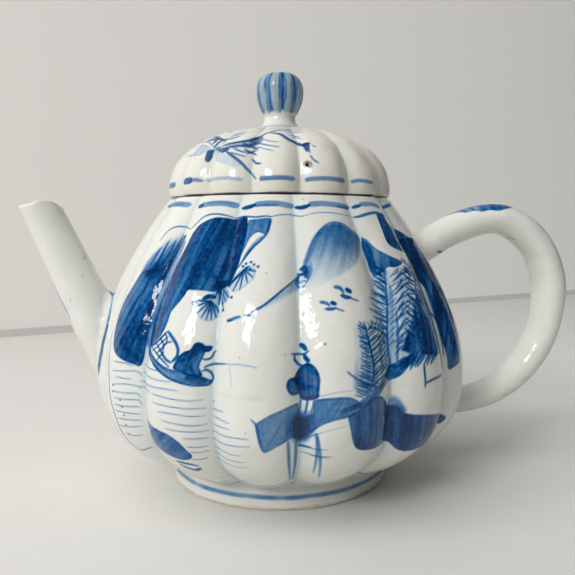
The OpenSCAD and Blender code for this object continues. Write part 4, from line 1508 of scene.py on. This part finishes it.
def build_foot(sizes, decoration):
    """The foot ring, with its glaze wiped off where it stands on the kiln shelf."""
    body = Body(sizes)
    step = step_of(sizes)
    r, top = body.foot_r, body.foot_z
    inner_edge = [(r - FOOT_WALL + out, z) for out, z in FOOT_INNER_EDGE]
    face = [(mix(r, r - FOOT_TAPER, z / top), z) for z in np.arange(FOOT_EDGE, top - FOOT_EDGE, step)]
    flare = [(r + out, top + up) for out, up in FOOT_FLARE]
    seen = [*inner_edge[2:], *((r - out, z) for out, z in FOOT_OUTER_EDGE), *face, *flare]
    hidden = [(r - FOOT_GRIP[0], top + FOOT_GRIP[1]), (r - FOOT_WALL, top), *inner_edge[:2]]
    profile = np.array(seen + hidden)
    angles = np.arange(0, 360, math.degrees(step / r))
    rows = [at(angles, radius, z) for radius, z in profile]
    heights = profile[:, 1:]
    glazed = np.arange(len(profile))[:, None] < len(seen)
    wobble = noise_around(angles, 9, 3)
    line = bell(heights - (FOOT_LINE_Z + 0.12 * wobble), FOOT_LINE_SPREAD, 4)
    line = FOOT_LINE * line * (1 + 0.3 * noise_around(angles, 5, 4))
    bare_z = FOOT_BARE_Z + FOOT_BARE_TORN * wobble
    iron = bell(heights - bare_z - 0.1, FOOT_IRON_SPREAD) * (0.6 + 0.4 * noise_around(angles, 3, 5))
    # Pooled glaze and painted shade on the foot's top, under the lobes
    pool = FOOT_POOL_AND_SHADE * climb(heights - top + FOOT_POOL_AND_SHADE_H, FOOT_POOL_AND_SHADE_H) * np.ones(len(angles))
    bare = climb(bare_z - heights, FOOT_BARE_BLEND)
    values = {"cobalt": line * glazed, "bare": bare, "iron": FOOT_IRON * iron, "pool": pool}
    foot = skin("foot", rows, values, closed=True)
    dress(foot, "pot", "glazed_porcelain", glazed_porcelain(decoration), "foot_ring")


# --- Spout and handle ---

SPOUT_REACH = 17.8
SPOUT_DROP = 1.6
SPOUT_LEAN = math.radians(24.2)
SPOUT_RIM_SLOPE = math.radians(7)
SPOUT_TIP_D = 12.4
SPOUT_ROOT_D = 15.4
SPOUT_ROOT_W = 21.0
SPOUT_WALL = 2.2
# Length of the spout down to the body's widest line, and its directions down and inwards
SPOUT_LENGTH = SPOUT_REACH / math.sin(SPOUT_LEAN)
SPOUT_DOWN = np.array([math.sin(SPOUT_LEAN), 0, -math.cos(SPOUT_LEAN)])
SPOUT_INWARD = np.array([math.cos(SPOUT_LEAN), 0, math.sin(SPOUT_LEAN)])
# How far the rim swells up towards its middle, and falls off at the side nearest the pot
RIM_CREST = 1.3
RIM_SHOULDER = 1.7
# Size of the fillet in the crotch over the spout, and under it
CROTCH_FILLET = 5.2
CHIN_FILLET = 0.9
FILLET_CURVE = 1.5
# Cobalt along the joint with the body: height, spread and how far that comes and goes, strength
# and how far that does
SEAM_RUN, SEAM_WIDTH, SEAM_TORN = 0.7, 0.36, 0.2
SEAM_COBALT, SEAM_COBALT_TORN = 0.24, 0.16
# How far pooled glaze and painted shade reach up the spout and the handle from the body
SPOUT_POOL_AND_SHADE, HANDLE_POOL_AND_SHADE = 2.2, 2.5
FILLET_ROWS = 10
# How often the stretch where a line meets the body is halved
HALVINGS = 30
# How deep a luted end is sunk into the body
SINK = 0.4


def spout_root_height(body):
    return body.mouth_z - SPOUT_DROP - SPOUT_LENGTH * math.cos(SPOUT_LEAN)


def around(width, step):
    """Angles once around a tube, with their cosines and sines."""
    columns = np.arange(-180, 180, 360 / round(math.tau * width / 2 / step))
    return columns, np.cos(np.radians(columns)), np.sin(np.radians(columns))


def meet(body, line, inside, outside):
    """Where the lines along a piece, one to a column, come out of the body."""
    for _ in range(HALVINGS):
        middle = (inside + outside) / 2
        buried = body.gap(line(middle)) < 0
        inside = np.where(buried, middle, inside)
        outside = np.where(buried, outside, middle)
    return outside


def fillet(body, line, root, away, size):
    """Rows of a clay fillet from the lines of a piece onto the body, ending sunk into it.

    root is where the lines meet the body and away the direction along them out of it. Also gives
    how far along the lines the fillet starts.
    """
    foot = line(root)
    up = line(root + 0.1 * away) - foot
    start = root + 0.1 * away * size / np.linalg.norm(up, axis=-1)
    up = unit(up)
    normal = body.normal(foot)
    out = foot - foot.mean(0)
    out = unit(out - normal * (out * normal).sum(-1, keepdims=True))
    level = unit(foot * [1, 1, 0])
    rows = []
    for turn in np.radians(np.linspace(0, 90, FILLET_ROWS)):
        rise, spread = 1 - math.sin(turn), 1 - math.cos(turn)
        row = foot + size[:, None] * (up * rise + out * spread)
        row -= level * ((body.gap(row) + 0.02) * spread)[:, None]
        rows.append(row)
    rows.append(rows[-1] - SINK * normal)
    return rows, start


def tube_ground(columns, rows):
    """A ground over rows of points that run around a tube."""
    points = np.stack(rows)
    steps = np.linalg.norm(np.diff(points, axis=0), axis=-1).mean(1)
    runs = np.concatenate([[0], np.cumsum(steps + TINY)])
    radii = np.linalg.norm(points - points.mean(1, keepdims=True), axis=-1).mean(1)
    return Ground(columns, runs, radii, points)


def build_spout(sizes, decoration):
    """The spout: a straight tube with a rounded rim, luted over the strainer."""
    body = Body(sizes)
    step = step_of(sizes)
    tip = np.array([-body.belly_r - SPOUT_REACH, 0, body.mouth_z - SPOUT_DROP])
    columns, cos, sin = around(SPOUT_TIP_D, 1.2 * step)
    rim = SPOUT_TIP_D / 2 * cos * math.tan(SPOUT_LEAN - SPOUT_RIM_SLOPE)
    rim += RIM_SHOULDER * climb(cos - 0.84, 0.16) ** 2 - RIM_CREST * bell(cos - 0.4, 0.5)

    def tube(inset):
        def line(s):
            share = np.clip(s / SPOUT_LENGTH, 0, 1)
            half_d = mix(SPOUT_TIP_D, SPOUT_ROOT_D, share) / 2 - inset
            half_w = mix(SPOUT_TIP_D, SPOUT_ROOT_W, share**2) / 2 - inset
            inward = np.multiply.outer(half_d * cos, SPOUT_INWARD)
            inward[..., 1] += half_w * sin
            return tip + np.multiply.outer(s, SPOUT_DOWN) + inward

        return line

    outside, inside = tube(0), tube(SPOUT_WALL)
    cut = rim * 0 + SPOUT_LENGTH + SPOUT_ROOT_D
    root = meet(body, outside, cut, rim)
    size = mix(CHIN_FILLET, CROTCH_FILLET, ((1 + cos) / 2) ** FILLET_CURVE)
    foot_rows, leave = fillet(body, outside, root, -1.0, size)
    top = rim + SPOUT_WALL / 2
    count = round(float((leave - top).mean()) / step)
    outer_rows = [outside(mix(top, leave, t)) for t in np.arange(count) / count] + foot_rows
    inner_root = meet(body, inside, cut, rim)
    inner_rows = [inside(mix(inner_root + SINK, top, t)) for t in np.linspace(0, 1, 40)]
    middle, half = (outside(top) + inside(top)) / 2, (outside(top) - inside(top)) / 2
    turns = np.radians(np.arange(18, 180, 18))
    up = -SPOUT_DOWN * SPOUT_WALL / 2
    lip_rows = [middle - half * math.cos(turn) + up * math.sin(turn) for turn in turns]
    ground = tube_ground(columns, outer_rows)
    for motifs in (SPOUT_MARKS, SPOUT_SEAM):
        ground.paint(motifs)
    speckle(ground, SPOUT_SPECKS)
    torn = noise_around(columns, 14, 11)
    from_root = (ground.runs[-1] - ground.runs)[:, None]
    seam = bell(from_root - SEAM_RUN, SEAM_WIDTH + SEAM_TORN * torn)
    ground.lay(slice(None), slice(None), seam * (SEAM_COBALT + SEAM_COBALT_TORN * torn))
    # Pooled glaze and painted shade where the spout meets the body
    ground.pool[...] = bell(from_root, SPOUT_POOL_AND_SHADE)
    spout = skin("spout_tube", [*outer_rows, *inner_rows, *lip_rows], ground.shares(), closed=True)
    dress(spout, "pot", "glazed_porcelain", glazed_porcelain(decoration), "spout")


HANDLE_REACH = 35.7
HANDLE_OUT_Z = 60.0
HANDLE_CROWN_Z = 87.0
HANDLE_CROWN_REACH = 12.7
HANDLE_TOP_Z = 76.0
HANDLE_LOW_Z = 22.0
GRIP_T = 11.3
HANDLE_TOP_T = 10.8
HANDLE_LOW_T = 8.8
HANDLE_W = 13.4
HANDLE_FILLET = 2.0
ROOT_SINK = 5.0
ROOT_SLOPE = 0.6


# Where the handle's neck bends, as shares of the way from its upper root to its crown
NECK_OUT, NECK_UP = 0.48, 0.65


def handle_line(body):
    """Centre line of the handle as [distance from the axis, height, thickness], from its upper end."""
    crown_r, out_r = body.belly_r + HANDLE_CROWN_REACH, body.belly_r + HANDLE_REACH
    top_r, low_r = float(body.crest(HANDLE_TOP_Z)), float(body.crest(HANDLE_LOW_Z))
    neck = (mix(top_r, crown_r, NECK_OUT), mix(HANDLE_TOP_Z, HANDLE_CROWN_Z, NECK_UP), HANDLE_TOP_T)
    sunk_z = HANDLE_TOP_Z - ROOT_SINK * ROOT_SLOPE
    line = [(top_r - ROOT_SINK, sunk_z, HANDLE_TOP_T), (top_r, HANDLE_TOP_Z, HANDLE_TOP_T), neck]
    start, middle = (crown_r, HANDLE_CROWN_Z, HANDLE_TOP_T), (out_r, HANDLE_OUT_Z, GRIP_T)
    for turn in np.radians(np.arange(0, 91, 22.5)):
        c, s = math.cos(turn), math.sin(turn)
        line.append([mix(a, b, share) for a, b, share in zip(start, middle, (s, 1 - c, s))])
    end = (body.belly_r, HANDLE_LOW_Z, HANDLE_LOW_T)
    for turn in np.radians(np.arange(22.5, 91, 22.5)):
        c, s = math.cos(turn), math.sin(turn)
        line.append([mix(a, b, share) for a, b, share in zip(middle, end, (1 - c, s, s * s))])
    line.append((low_r - ROOT_SINK, HANDLE_LOW_Z, HANDLE_LOW_T))
    return np.array(line)


def build_handle(sizes, decoration):
    """The handle: a rolled loop, luted to the body at both ends."""
    body = Body(sizes)
    step = step_of(sizes)
    columns, cos, sin = around(HANDLE_W, 1.4 * step)
    control = handle_line(body)
    fine = smooth_line(control, 40)
    places = np.arange(len(fine)) / 40
    slopes = np.gradient(fine, places, axis=0)

    def surface(t):
        curves = (*fine.T, *slopes.T[:2])
        radius, height, thickness, run_r, run_z = (np.interp(t, places, curve) for curve in curves)
        length = np.hypot(run_r, run_z)
        out_r, out_z = -run_z / length, run_r / length
        half = thickness / 2 * cos
        return np.stack([radius + out_r * half, HANDLE_W / 2 * sin, height + out_z * half], axis=-1)

    size = HANDLE_FILLET * np.ones(len(columns))
    top_root = meet(body, surface, 0 * cos, 0 * cos + 2)
    low_end = len(control) - 1.0
    low_root = meet(body, surface, 0 * cos + low_end, 0 * cos + low_end - 2)
    top_rows, start = fillet(body, surface, top_root, 1.0, size)
    low_rows, end = fillet(body, surface, low_root, -1.0, size)
    length = np.linalg.norm(np.diff(fine[:, :2], axis=0), axis=1).sum()
    count = round(length / step / 1.3)
    loop_rows = [surface(mix(start, end, t)) for t in np.arange(1, count) / count]
    rows = [*reversed(top_rows), *loop_rows, *low_rows]
    ground = tube_ground(columns, rows)
    ground.paint(HANDLE_MARKS)
    speckle(ground, HANDLE_SPECKS)
    near_end = np.minimum(ground.runs, ground.runs[-1] - ground.runs)[:, None]
    # Pooled glaze and painted shade where the handle meets the body
    ground.pool[...] = bell(near_end, HANDLE_POOL_AND_SHADE)
    handle = skin("handle_loop", rows, ground.shares())
    dress(handle, "pot", "glazed_porcelain", glazed_porcelain(decoration), "handle")


# --- Lid ---

LID_DOME_HEIGHT = 20.2
KNOB_SEAT_R = 8.0
VENT_D = 1.5
VENT_RISE = 5.6
VENT_ANGLE = 98.0
# Share of the clay's colour that shows through the lid's glaze
LID_CREAM = 0.13
# How far the loose lid is turned in its mouth
LID_TURN = 4.3
# Share of its depth that a valley of the lid has under the lid's edge
LIP_DEPTH = 0.8
# The bare band above the lid's edge: height, strength, the height over which it ends, and the
# iron along its top
LID_BAND_HEIGHT, LID_BAND_CLAY, LID_BAND_BLEND = 0.9, 0.26, 0.7
BAND_IRON, BAND_IRON_SPREAD = 0.14, 0.3
# A brown line and painted shade of the gap under the lid's edge: iron, height and the height over
# which it ends
UNDER_EDGE_SHADE_IRON, UNDER_EDGE, UNDER_BLEND = 0.6, 0.42, 0.3
# Share of the cream tone that the painting hides
CREAM_HIDDEN = 0.85
# The brown ring round the vent: strength and spread, within this reach
VENT_IRON, VENT_SPREAD, VENT_REACH = 1.5, 0.42, 2.4
LID_POOL_AND_SHADE_LINE = 0.3


def dome(foot_r, low_z, height, share):
    """Radius and height of a dome at a share of the way from its foot to its flat round top."""
    end = np.arccos((KNOB_SEAT_R / foot_r) ** (DOME_CURVE / 2))
    radius = foot_r * np.cos(end * share) ** (2 / DOME_CURVE)
    return radius, low_z + height * np.sin(end * share) / np.sin(end)


def build_lid(sizes, decoration):
    """The lid: a lobed dome with a vent, recessed under its edge for the flange."""
    body = Body(sizes)
    step = step_of(sizes)
    lid_r = sizes.lid_width / 2 / MM
    lid_z = body.mouth_z + LID_GAP
    lip_z = lid_z + LIP_HEIGHT
    seat_z = lip_z + LID_DOME_HEIGHT
    lobes = lobe_angles(round(math.tau * lid_r / LOBES / step))
    angles = lobes + LID_TURN

    def lobed(radius, height, depth):
        return at(angles, radius - depth * valley_share(place_across(lobes)), height)

    def profile(share):
        return dome(lid_r, lip_z, LID_DOME_HEIGHT, share)

    radii, heights = profile(even_steps(profile, step, 0, 1))
    inwards = np.maximum(0, radii - KNOB_SEAT_R) / (lid_r - KNOB_SEAT_R)
    dome_rings = zip(radii, heights, LID_LOBE_DEPTH * inwards**LID_DEPTH_CURVE)
    lip_rings = []
    for turn in np.radians(np.linspace(0, 90, 9))[:-1]:
        c, s = math.cos(turn), math.sin(turn)
        depth = LID_LOBE_DEPTH * mix(LIP_DEPTH, 1, s)
        lip_rings.append((lid_r - LIP_INSET * (1 - s), lip_z - LIP_HEIGHT * c, depth))
    rings = [*lip_rings, *dome_rings]
    outer = [lobed(*ring) for ring in rings]
    all_radii, all_heights, _ = np.transpose(rings)
    ground = Ground(angles, runs_along(all_radii, all_heights), all_radii, np.stack(outer))
    # Pooled glaze and painted shade along the lid's valleys
    ground.pool[...] = glaze_pool_and_shade_in_valleys(lobes, len(outer), LID_POOL_AND_SHADE_LINE)
    z = all_heights[:, None]
    wobble = noise_around(angles, 7, 21) + 0.5 * noise_around(angles, 2.5, 22)
    band_top = lip_z + LID_BAND_HEIGHT + 0.5 * wobble
    ground.bare[...] = LID_CREAM + LID_BAND_CLAY * climb(band_top - z, LID_BAND_BLEND)
    # Iron and full cobalt under the lid's edge paint the shade of the gap over the seat
    under_edge_shade = climb(lid_z + UNDER_EDGE + 0.1 * wobble - z, UNDER_BLEND)
    ground.iron[...] = BAND_IRON * bell(z - band_top, BAND_IRON_SPREAD) * np.clip(wobble, 0, 1)
    ground.iron[...] += UNDER_EDGE_SHADE_IRON * under_edge_shade
    ground.cobalt[...] += under_edge_shade
    for motifs in (LID_BAND, LID_ROCK, LID_BOUGH, LID_BRANCH):
        ground.paint(motifs)
        ground.paint(motifs, 180, BACK_FADE, ("grass",))
    ground.bare[...] *= 1 - CREAM_HIDDEN * np.clip(ground.cobalt, 0, 1)
    vent_z = lip_z + VENT_RISE
    vent = (VENT_ANGLE, np.interp(vent_z, all_heights, ground.runs))
    around_vent = ground.window(np.array([vent]), VENT_REACH)
    distance = np.hypot(*ground.offsets(*around_vent, vent))
    ground.lay(*around_vent, VENT_IRON * bell(distance - VENT_D / 2, VENT_SPREAD), "iron")

    inner_r, inner_z = FLANGE_R - FLANGE_WALL, lid_z + FLANGE_GRIP
    hollow = dome(inner_r, inner_z, seat_z - LID_WALL - inner_z, np.linspace(1, 0, 20))
    under = [lobed(r, z, 0) for r, z in (*zip(*hollow), (FLANGE_R, inner_z), (FLANGE_R, lid_z))]
    lid = skin("lid_shell", [*under, *outer], ground.shares(), first_row=len(under))
    start = Vector(at(VENT_ANGLE, lid_r + 1, vent_z))
    pierce(lid, "vent_drill", [start], (-start.x, -start.y, 0), VENT_D, lid_r)
    dress(lid, "lid", "glazed_porcelain", glazed_porcelain(decoration), "lid_dome")


def build_flange(sizes, decoration):
    """The ring under the lid that keeps it in the mouth."""
    low_z = sizes.seat_height / MM + LID_GAP - FLANGE_DROP
    inner_r, top_z = FLANGE_R - FLANGE_WALL, low_z + FLANGE_DROP + FLANGE_GRIP
    edge = FLANGE_EDGE
    profile = [(FLANGE_R, top_z), (inner_r, top_z)]
    for middle, start in ((inner_r + edge, 180), (FLANGE_R - edge, 270)):
        for turn in np.radians(start + np.arange(0, 91, 15)):
            profile.append((middle + edge * math.cos(turn), low_z + edge + edge * math.sin(turn)))
    angles = np.arange(0, 360, 1.0)
    rows = [at(angles, r, z) for r, z in profile]
    flange = skin("lid_flange_ring", rows, closed=True)
    dress(flange, "lid", "bare_porcelain", bare_porcelain(decoration), "lid_flange")


KNOB_NECK_D = 10.3
KNOB_NECK_H = 4.4
KNOB_D = 16.0
KNOB_BULB_H = 13.0
KNOB_H = 19.2
# How soon the bulb fills out over the neck: 1 is an even S-curve
KNOB_FULLNESS = 0.58
KNOB_RIBS = 10
RIB_DEPTH = 0.5
KNOB_FLARE_CURVE = 2.2
# Cobalt on the knob: how much lies all over it, how much more in the grooves, and where across
# a rib a stripe starts and how soon it is full
KNOB_COBALT, STRIPE_COBALT, STRIPE_START, STRIPE_BLEND, STRIPE_CURVE = 0.19, 0.4, 0.3, 0.42, 1.2
# How far the brush comes and goes across a stripe, and in strength
STRIPE_TORN = 0.22
# The grey line round the knob's joint with the lid: height, spread, cobalt and iron
KNOB_JOINT, KNOB_JOINT_SPREAD, KNOB_JOINT_COBALT, KNOB_JOINT_IRON = 0.7, 0.26, 0.14, 0.3
KNOB_POOL_AND_SHADE = 2.2
RIB_IRON = 0.2


def knob_radius(height):
    """Radius of the knob over its ribs: a flare, an S-curve and a crown."""
    share = np.clip(1 - height / KNOB_NECK_H, 0, 1) ** KNOB_FLARE_CURVE
    flare = mix(KNOB_NECK_D, 2 * KNOB_SEAT_R, share) / 2
    rise = np.clip((height - KNOB_NECK_H) / (KNOB_BULB_H - KNOB_NECK_H), 0, 1)
    bulb = mix(KNOB_NECK_D, KNOB_D, (1 - np.cos(np.pi * rise**KNOB_FULLNESS)) / 2) / 2
    fall = np.clip((height - KNOB_BULB_H) / (KNOB_H - KNOB_BULB_H), 0, 1)
    crown = KNOB_D / 2 * np.maximum(0, 1 - fall**BULB_CURVE) ** (1 / BULB_CURVE)
    return np.where(height < KNOB_NECK_H, flare, np.where(height < KNOB_BULB_H, bulb, crown))


def build_knob(sizes, decoration):
    """The knob: a ribbed bulb on a short neck, with cobalt brushed along its grooves."""
    step = step_of(sizes)
    seat_z = sizes.seat_height / MM + LID_GAP + LIP_HEIGHT + LID_DOME_HEIGHT
    angles = 180 + around(KNOB_D, 1.2 * step)[0]

    def profile(turn):
        # A turn of 0 to 1 climbs to the bulb's widest line and 1 to 2 rounds the crown
        over = np.sin(np.clip(turn - 1, 0, 1) * np.pi / 2) ** (2 / BULB_CURVE)
        height = np.where(turn < 1, KNOB_BULB_H * turn, mix(KNOB_BULB_H, KNOB_H, over))
        return knob_radius(height), height

    radii, heights = profile(even_steps(profile, step, 0, 1.985))
    share = np.clip((heights - KNOB_NECK_H) / (KNOB_H - KNOB_NECK_H), 0, 1)
    phase = np.radians(angles * KNOB_RIBS)
    groove = (1 - np.cos(phase)) / 2
    dents = RIB_DEPTH * np.sin(np.pi * share)[:, None] * groove
    rows = at(angles, radii[:, None] - dents, seat_z + heights[:, None])
    runs = runs_along(radii, heights)
    z = heights[:, None]
    brushed = noise_around(angles, 4, 31) + noise_over(angles, runs, 3, 4, 32)
    stripe = climb(groove - STRIPE_START + STRIPE_TORN * brushed, STRIPE_BLEND) ** STRIPE_CURVE
    reach = climb(z - KNOB_NECK_H - 0.6 - 0.5 * brushed, 1.0)
    reach *= np.clip(KNOB_H - 0.3 - z, 0.35, 1)
    cobalt = reach * (KNOB_COBALT + stripe * (STRIPE_COBALT + STRIPE_TORN * brushed))
    joint = bell(z - (KNOB_JOINT + 0.1 * noise_around(angles, 30, 33)), KNOB_JOINT_SPREAD)
    cobalt += KNOB_JOINT_COBALT * joint
    # Pooled glaze and painted shade at the knob's joint with the lid, and pooled glaze over the painted
    # bulb
    pool = np.maximum(climb(KNOB_POOL_AND_SHADE - z, KNOB_POOL_AND_SHADE), reach)
    iron = RIB_IRON * reach * np.clip(1 - 1.4 * stripe + 0.5 * brushed, 0, 1)
    iron += KNOB_JOINT_IRON * joint
    values = {"cobalt": np.clip(cobalt, 0, 1), "pool": pool, "iron": iron}
    knob = skin("knob", list(rows), values)
    dress(knob, "lid", "glazed_porcelain", glazed_porcelain(decoration), "lid_knob")


# --- Stage ---

# Places of the stage around the pot, in metres. The wall's foot runs slantwise behind the pot.
TABLE_SIZE = 2.4
WALL_FOOT = ((-0.60, 0.115), (0.70, 0.685))
# The wall, and a darker strip along its foot that is painted shadow where the table meets the wall:
# how far forward, how tall and how bright
WALL_STRIPS = (("wall", 0, 2.0, 1.0), ("wall_foot", 0.001, 0.006, 0.72))
# Where the window hangs: degrees to the left of the view, degrees up and metres away
WINDOW_PLACE = (30.0, 30.0, 1.6)
WINDOW_HEIGHT = 0.4
# Width of each pane and how far its middle is to the right of the window's
WINDOW_PANES = ((0.36, -0.115), (0.09, 0.18))
# Large pale surfaces of the room that light the pot softly: name, degrees to the left, degrees up,
# metres away, size and power. They are too even to be seen as highlights.
SOFT_LIGHTS = (
    ("soft_left", 62, 40, 4.0, (2.3, 2.3), 53),
    ("ceiling", 38, 69, 1.7, (1.6, 1.2), 10.2),
)
# Light of its own that stands for the rest of the room behind the wall's even tone
WALL_GLOW = 0.43
# Roughness and swells to a metre of the table's mottle, and of the wall's
TABLE_FINISH, WALL_FINISH = (0.55, 110), (0.9, 3)
DAYLIGHT = (1, 0.99, 0.97)
# Height that the lights look at, in metres
LIT_HEIGHT = 0.06
ROOM_COLOUR, ROOM_LIGHT = (0.92, 0.93, 0.95), 0.06
SENSOR_WIDTH, CLIP_START = 36, 0.01


def stage_sheet(name, corners, material):
    mesh = bpy.data.meshes.new(name)
    mesh.from_pydata(corners, [], [(0, 1, 2, 3)])
    mesh.materials.append(material)
    sheet = bpy.data.objects.new(name, mesh)
    bpy.context.scene.collection.objects.link(sheet)


def stage_light(name, turn, rise, away, size, power, aside=0.0):
    """A flat light that looks at the pot, turned from the view and raised, in degrees."""
    light = bpy.data.lights.new(name, "AREA")
    light.shape = "RECTANGLE"
    light.size, light.size_y = size
    light.energy = power
    light.color = DAYLIGHT
    bearing = math.radians(-VIEW_TURN - turn)
    up = math.radians(rise)
    out = Vector((math.sin(bearing) * math.cos(up), -math.cos(bearing) * math.cos(up), math.sin(up)))
    holder = bpy.data.objects.new(name, light)
    facing = out.to_track_quat("Z", "Y").to_matrix()
    place = Vector((0, 0, LIT_HEIGHT)) + away * out + aside * (facing @ Vector((1, 0, 0)))
    holder.matrix_world = Matrix.Translation(place) @ facing.to_4x4()
    bpy.context.scene.collection.objects.link(holder)
    return holder


def build_stage(settings):
    """A pale table before a pale wall, a window to the left and the camera."""
    side = TABLE_SIZE / 2
    table = plain("Table Top", settings.table_colour, *TABLE_FINISH)
    corners = [(-side, -side, 0), (side, -side, 0), (side, side, 0), (-side, side, 0)]
    stage_sheet("table_top", corners, table)
    (left_x, left_y), (right_x, right_y) = WALL_FOOT
    for name, forward, height, shade in WALL_STRIPS:
        colour = [shade * part for part in settings.wall_colour]
        paint = plain(name, colour, *WALL_FINISH)
        glow = paint.node_tree.nodes["Principled BSDF"].inputs
        glow["Emission Color"].default_value = opaque(colour)
        glow["Emission Strength"].default_value = WALL_GLOW
        ends = ((left_x, left_y - forward), (right_x, right_y - forward))
        strip = [(*ends[0], 0), (*ends[1], 0), (*ends[1], height), (*ends[0], height)]
        stage_sheet(name, strip, paint)
    for number, (width, aside) in enumerate(WINDOW_PANES):
        size = (width, WINDOW_HEIGHT)
        power = settings.window_power * width / WINDOW_PANES[0][0]
        stage_light(f"window_pane_{number}", *WINDOW_PLACE, size, power, aside)
    for soft_light in SOFT_LIGHTS:
        stage_light(*soft_light).visible_glossy = False

    world = bpy.data.worlds.new("Room")
    world.use_nodes = True
    backdrop = world.node_tree.nodes["Background"]
    backdrop.inputs["Color"].default_value = opaque(ROOM_COLOUR)
    backdrop.inputs["Strength"].default_value = ROOM_LIGHT
    bpy.context.scene.world = world

    lens = bpy.data.cameras.new("Camera")
    lens.lens = settings.focal_length
    lens.sensor_width = SENSOR_WIDTH
    lens.clip_start = CLIP_START
    lens.dof.use_dof = False
    camera = bpy.data.objects.new("Camera", lens)
    right, down, ahead = (Vector(axis) for axis in view_axes())
    axes = Matrix((right, -down, -ahead)).transposed()
    camera.matrix_world = Matrix.Translation(Vector(VIEW_EYE) * MM) @ axes.to_4x4()
    bpy.context.scene.collection.objects.link(camera)
    bpy.context.scene.camera = camera
    bpy.context.scene.view_settings.view_transform = "Standard"


# --- Add-on ---


class TeapotPiece:
    """What the operators that add pieces share."""

    bl_options = {"REGISTER", "UNDO"}

    def execute(self, context):
        scene = context.scene
        type(self).build(scene.teapot_sizes, scene.teapot_decoration)
        return {"FINISHED"}


class TEAPOT_OT_body(TeapotPiece, bpy.types.Operator):
    """Add the lobed body in its two pressed halves, painted and pierced behind the spout"""

    bl_idname = "teapot.add_body"
    bl_label = "Add Body"
    build = staticmethod(build_body)


class TEAPOT_OT_foot(TeapotPiece, bpy.types.Operator):
    """Add the foot ring with its wiped edge"""

    bl_idname = "teapot.add_foot"
    bl_label = "Add Foot"
    build = staticmethod(build_foot)


class TEAPOT_OT_spout(TeapotPiece, bpy.types.Operator):
    """Add the straight spout, luted over the strainer"""

    bl_idname = "teapot.add_spout"
    bl_label = "Add Spout"
    build = staticmethod(build_spout)


class TEAPOT_OT_handle(TeapotPiece, bpy.types.Operator):
    """Add the loop handle"""

    bl_idname = "teapot.add_handle"
    bl_label = "Add Handle"
    build = staticmethod(build_handle)


class TEAPOT_OT_lid(TeapotPiece, bpy.types.Operator):
    """Add the lobed lid with its painting and its vent"""

    bl_idname = "teapot.add_lid"
    bl_label = "Add Lid"
    build = staticmethod(build_lid)


class TEAPOT_OT_flange(TeapotPiece, bpy.types.Operator):
    """Add the bare ring that keeps the lid in the mouth"""

    bl_idname = "teapot.add_flange"
    bl_label = "Add Flange"
    build = staticmethod(build_flange)


class TEAPOT_OT_knob(TeapotPiece, bpy.types.Operator):
    """Add the ribbed knob on the lid"""

    bl_idname = "teapot.add_knob"
    bl_label = "Add Knob"
    build = staticmethod(build_knob)


class TEAPOT_OT_stage(bpy.types.Operator):
    """Add the table, the wall, the lights and the camera"""

    bl_idname = "teapot.add_stage"
    bl_label = "Add Stage"
    bl_options = {"REGISTER", "UNDO"}

    def execute(self, context):
        build_stage(context.scene.teapot_stage)
        return {"FINISHED"}


PIECE_OPERATORS = (
    TEAPOT_OT_body,
    TEAPOT_OT_foot,
    TEAPOT_OT_spout,
    TEAPOT_OT_handle,
    TEAPOT_OT_lid,
    TEAPOT_OT_flange,
    TEAPOT_OT_knob,
)


class TEAPOT_PT_panel(bpy.types.Panel):
    """Settings of the teapot and the buttons that build it"""

    bl_idname = "TEAPOT_PT_panel"
    bl_label = "Teapot"
    bl_space_type = "VIEW_3D"
    bl_region_type = "UI"
    bl_category = "Teapot"

    def draw(self, context):
        scene = context.scene
        for title, settings in (
            ("Sizes", scene.teapot_sizes),
            ("Decoration", scene.teapot_decoration),
            ("Stage", scene.teapot_stage),
        ):
            box = self.layout.box()
            box.label(text=title)
            for name in settings.__annotations__:
                box.prop(settings, name)
        for operator in (*PIECE_OPERATORS, TEAPOT_OT_stage):
            self.layout.operator(operator.bl_idname)


CLASSES = (
    TEAPOT_PG_sizes,
    TEAPOT_PG_decoration,
    TEAPOT_PG_stage,
    *PIECE_OPERATORS,
    TEAPOT_OT_stage,
    TEAPOT_PT_panel,
)


def register():
    for cls in CLASSES:
        bpy.utils.register_class(cls)
    bpy.types.Scene.teapot_sizes = bpy.props.PointerProperty(type=TEAPOT_PG_sizes)
    bpy.types.Scene.teapot_decoration = bpy.props.PointerProperty(type=TEAPOT_PG_decoration)
    bpy.types.Scene.teapot_stage = bpy.props.PointerProperty(type=TEAPOT_PG_stage)


def unregister():
    del bpy.types.Scene.teapot_stage
    del bpy.types.Scene.teapot_decoration
    del bpy.types.Scene.teapot_sizes
    for cls in reversed(CLASSES):
        bpy.utils.unregister_class(cls)


def main():
    """Builds the whole scene."""
    register()
    bpy.ops.teapot.add_body()
    bpy.ops.teapot.add_foot()
    bpy.ops.teapot.add_spout()
    bpy.ops.teapot.add_handle()
    bpy.ops.teapot.add_lid()
    bpy.ops.teapot.add_flange()
    bpy.ops.teapot.add_knob()
    bpy.ops.teapot.add_stage()


if __name__ == "__main__":
    main()
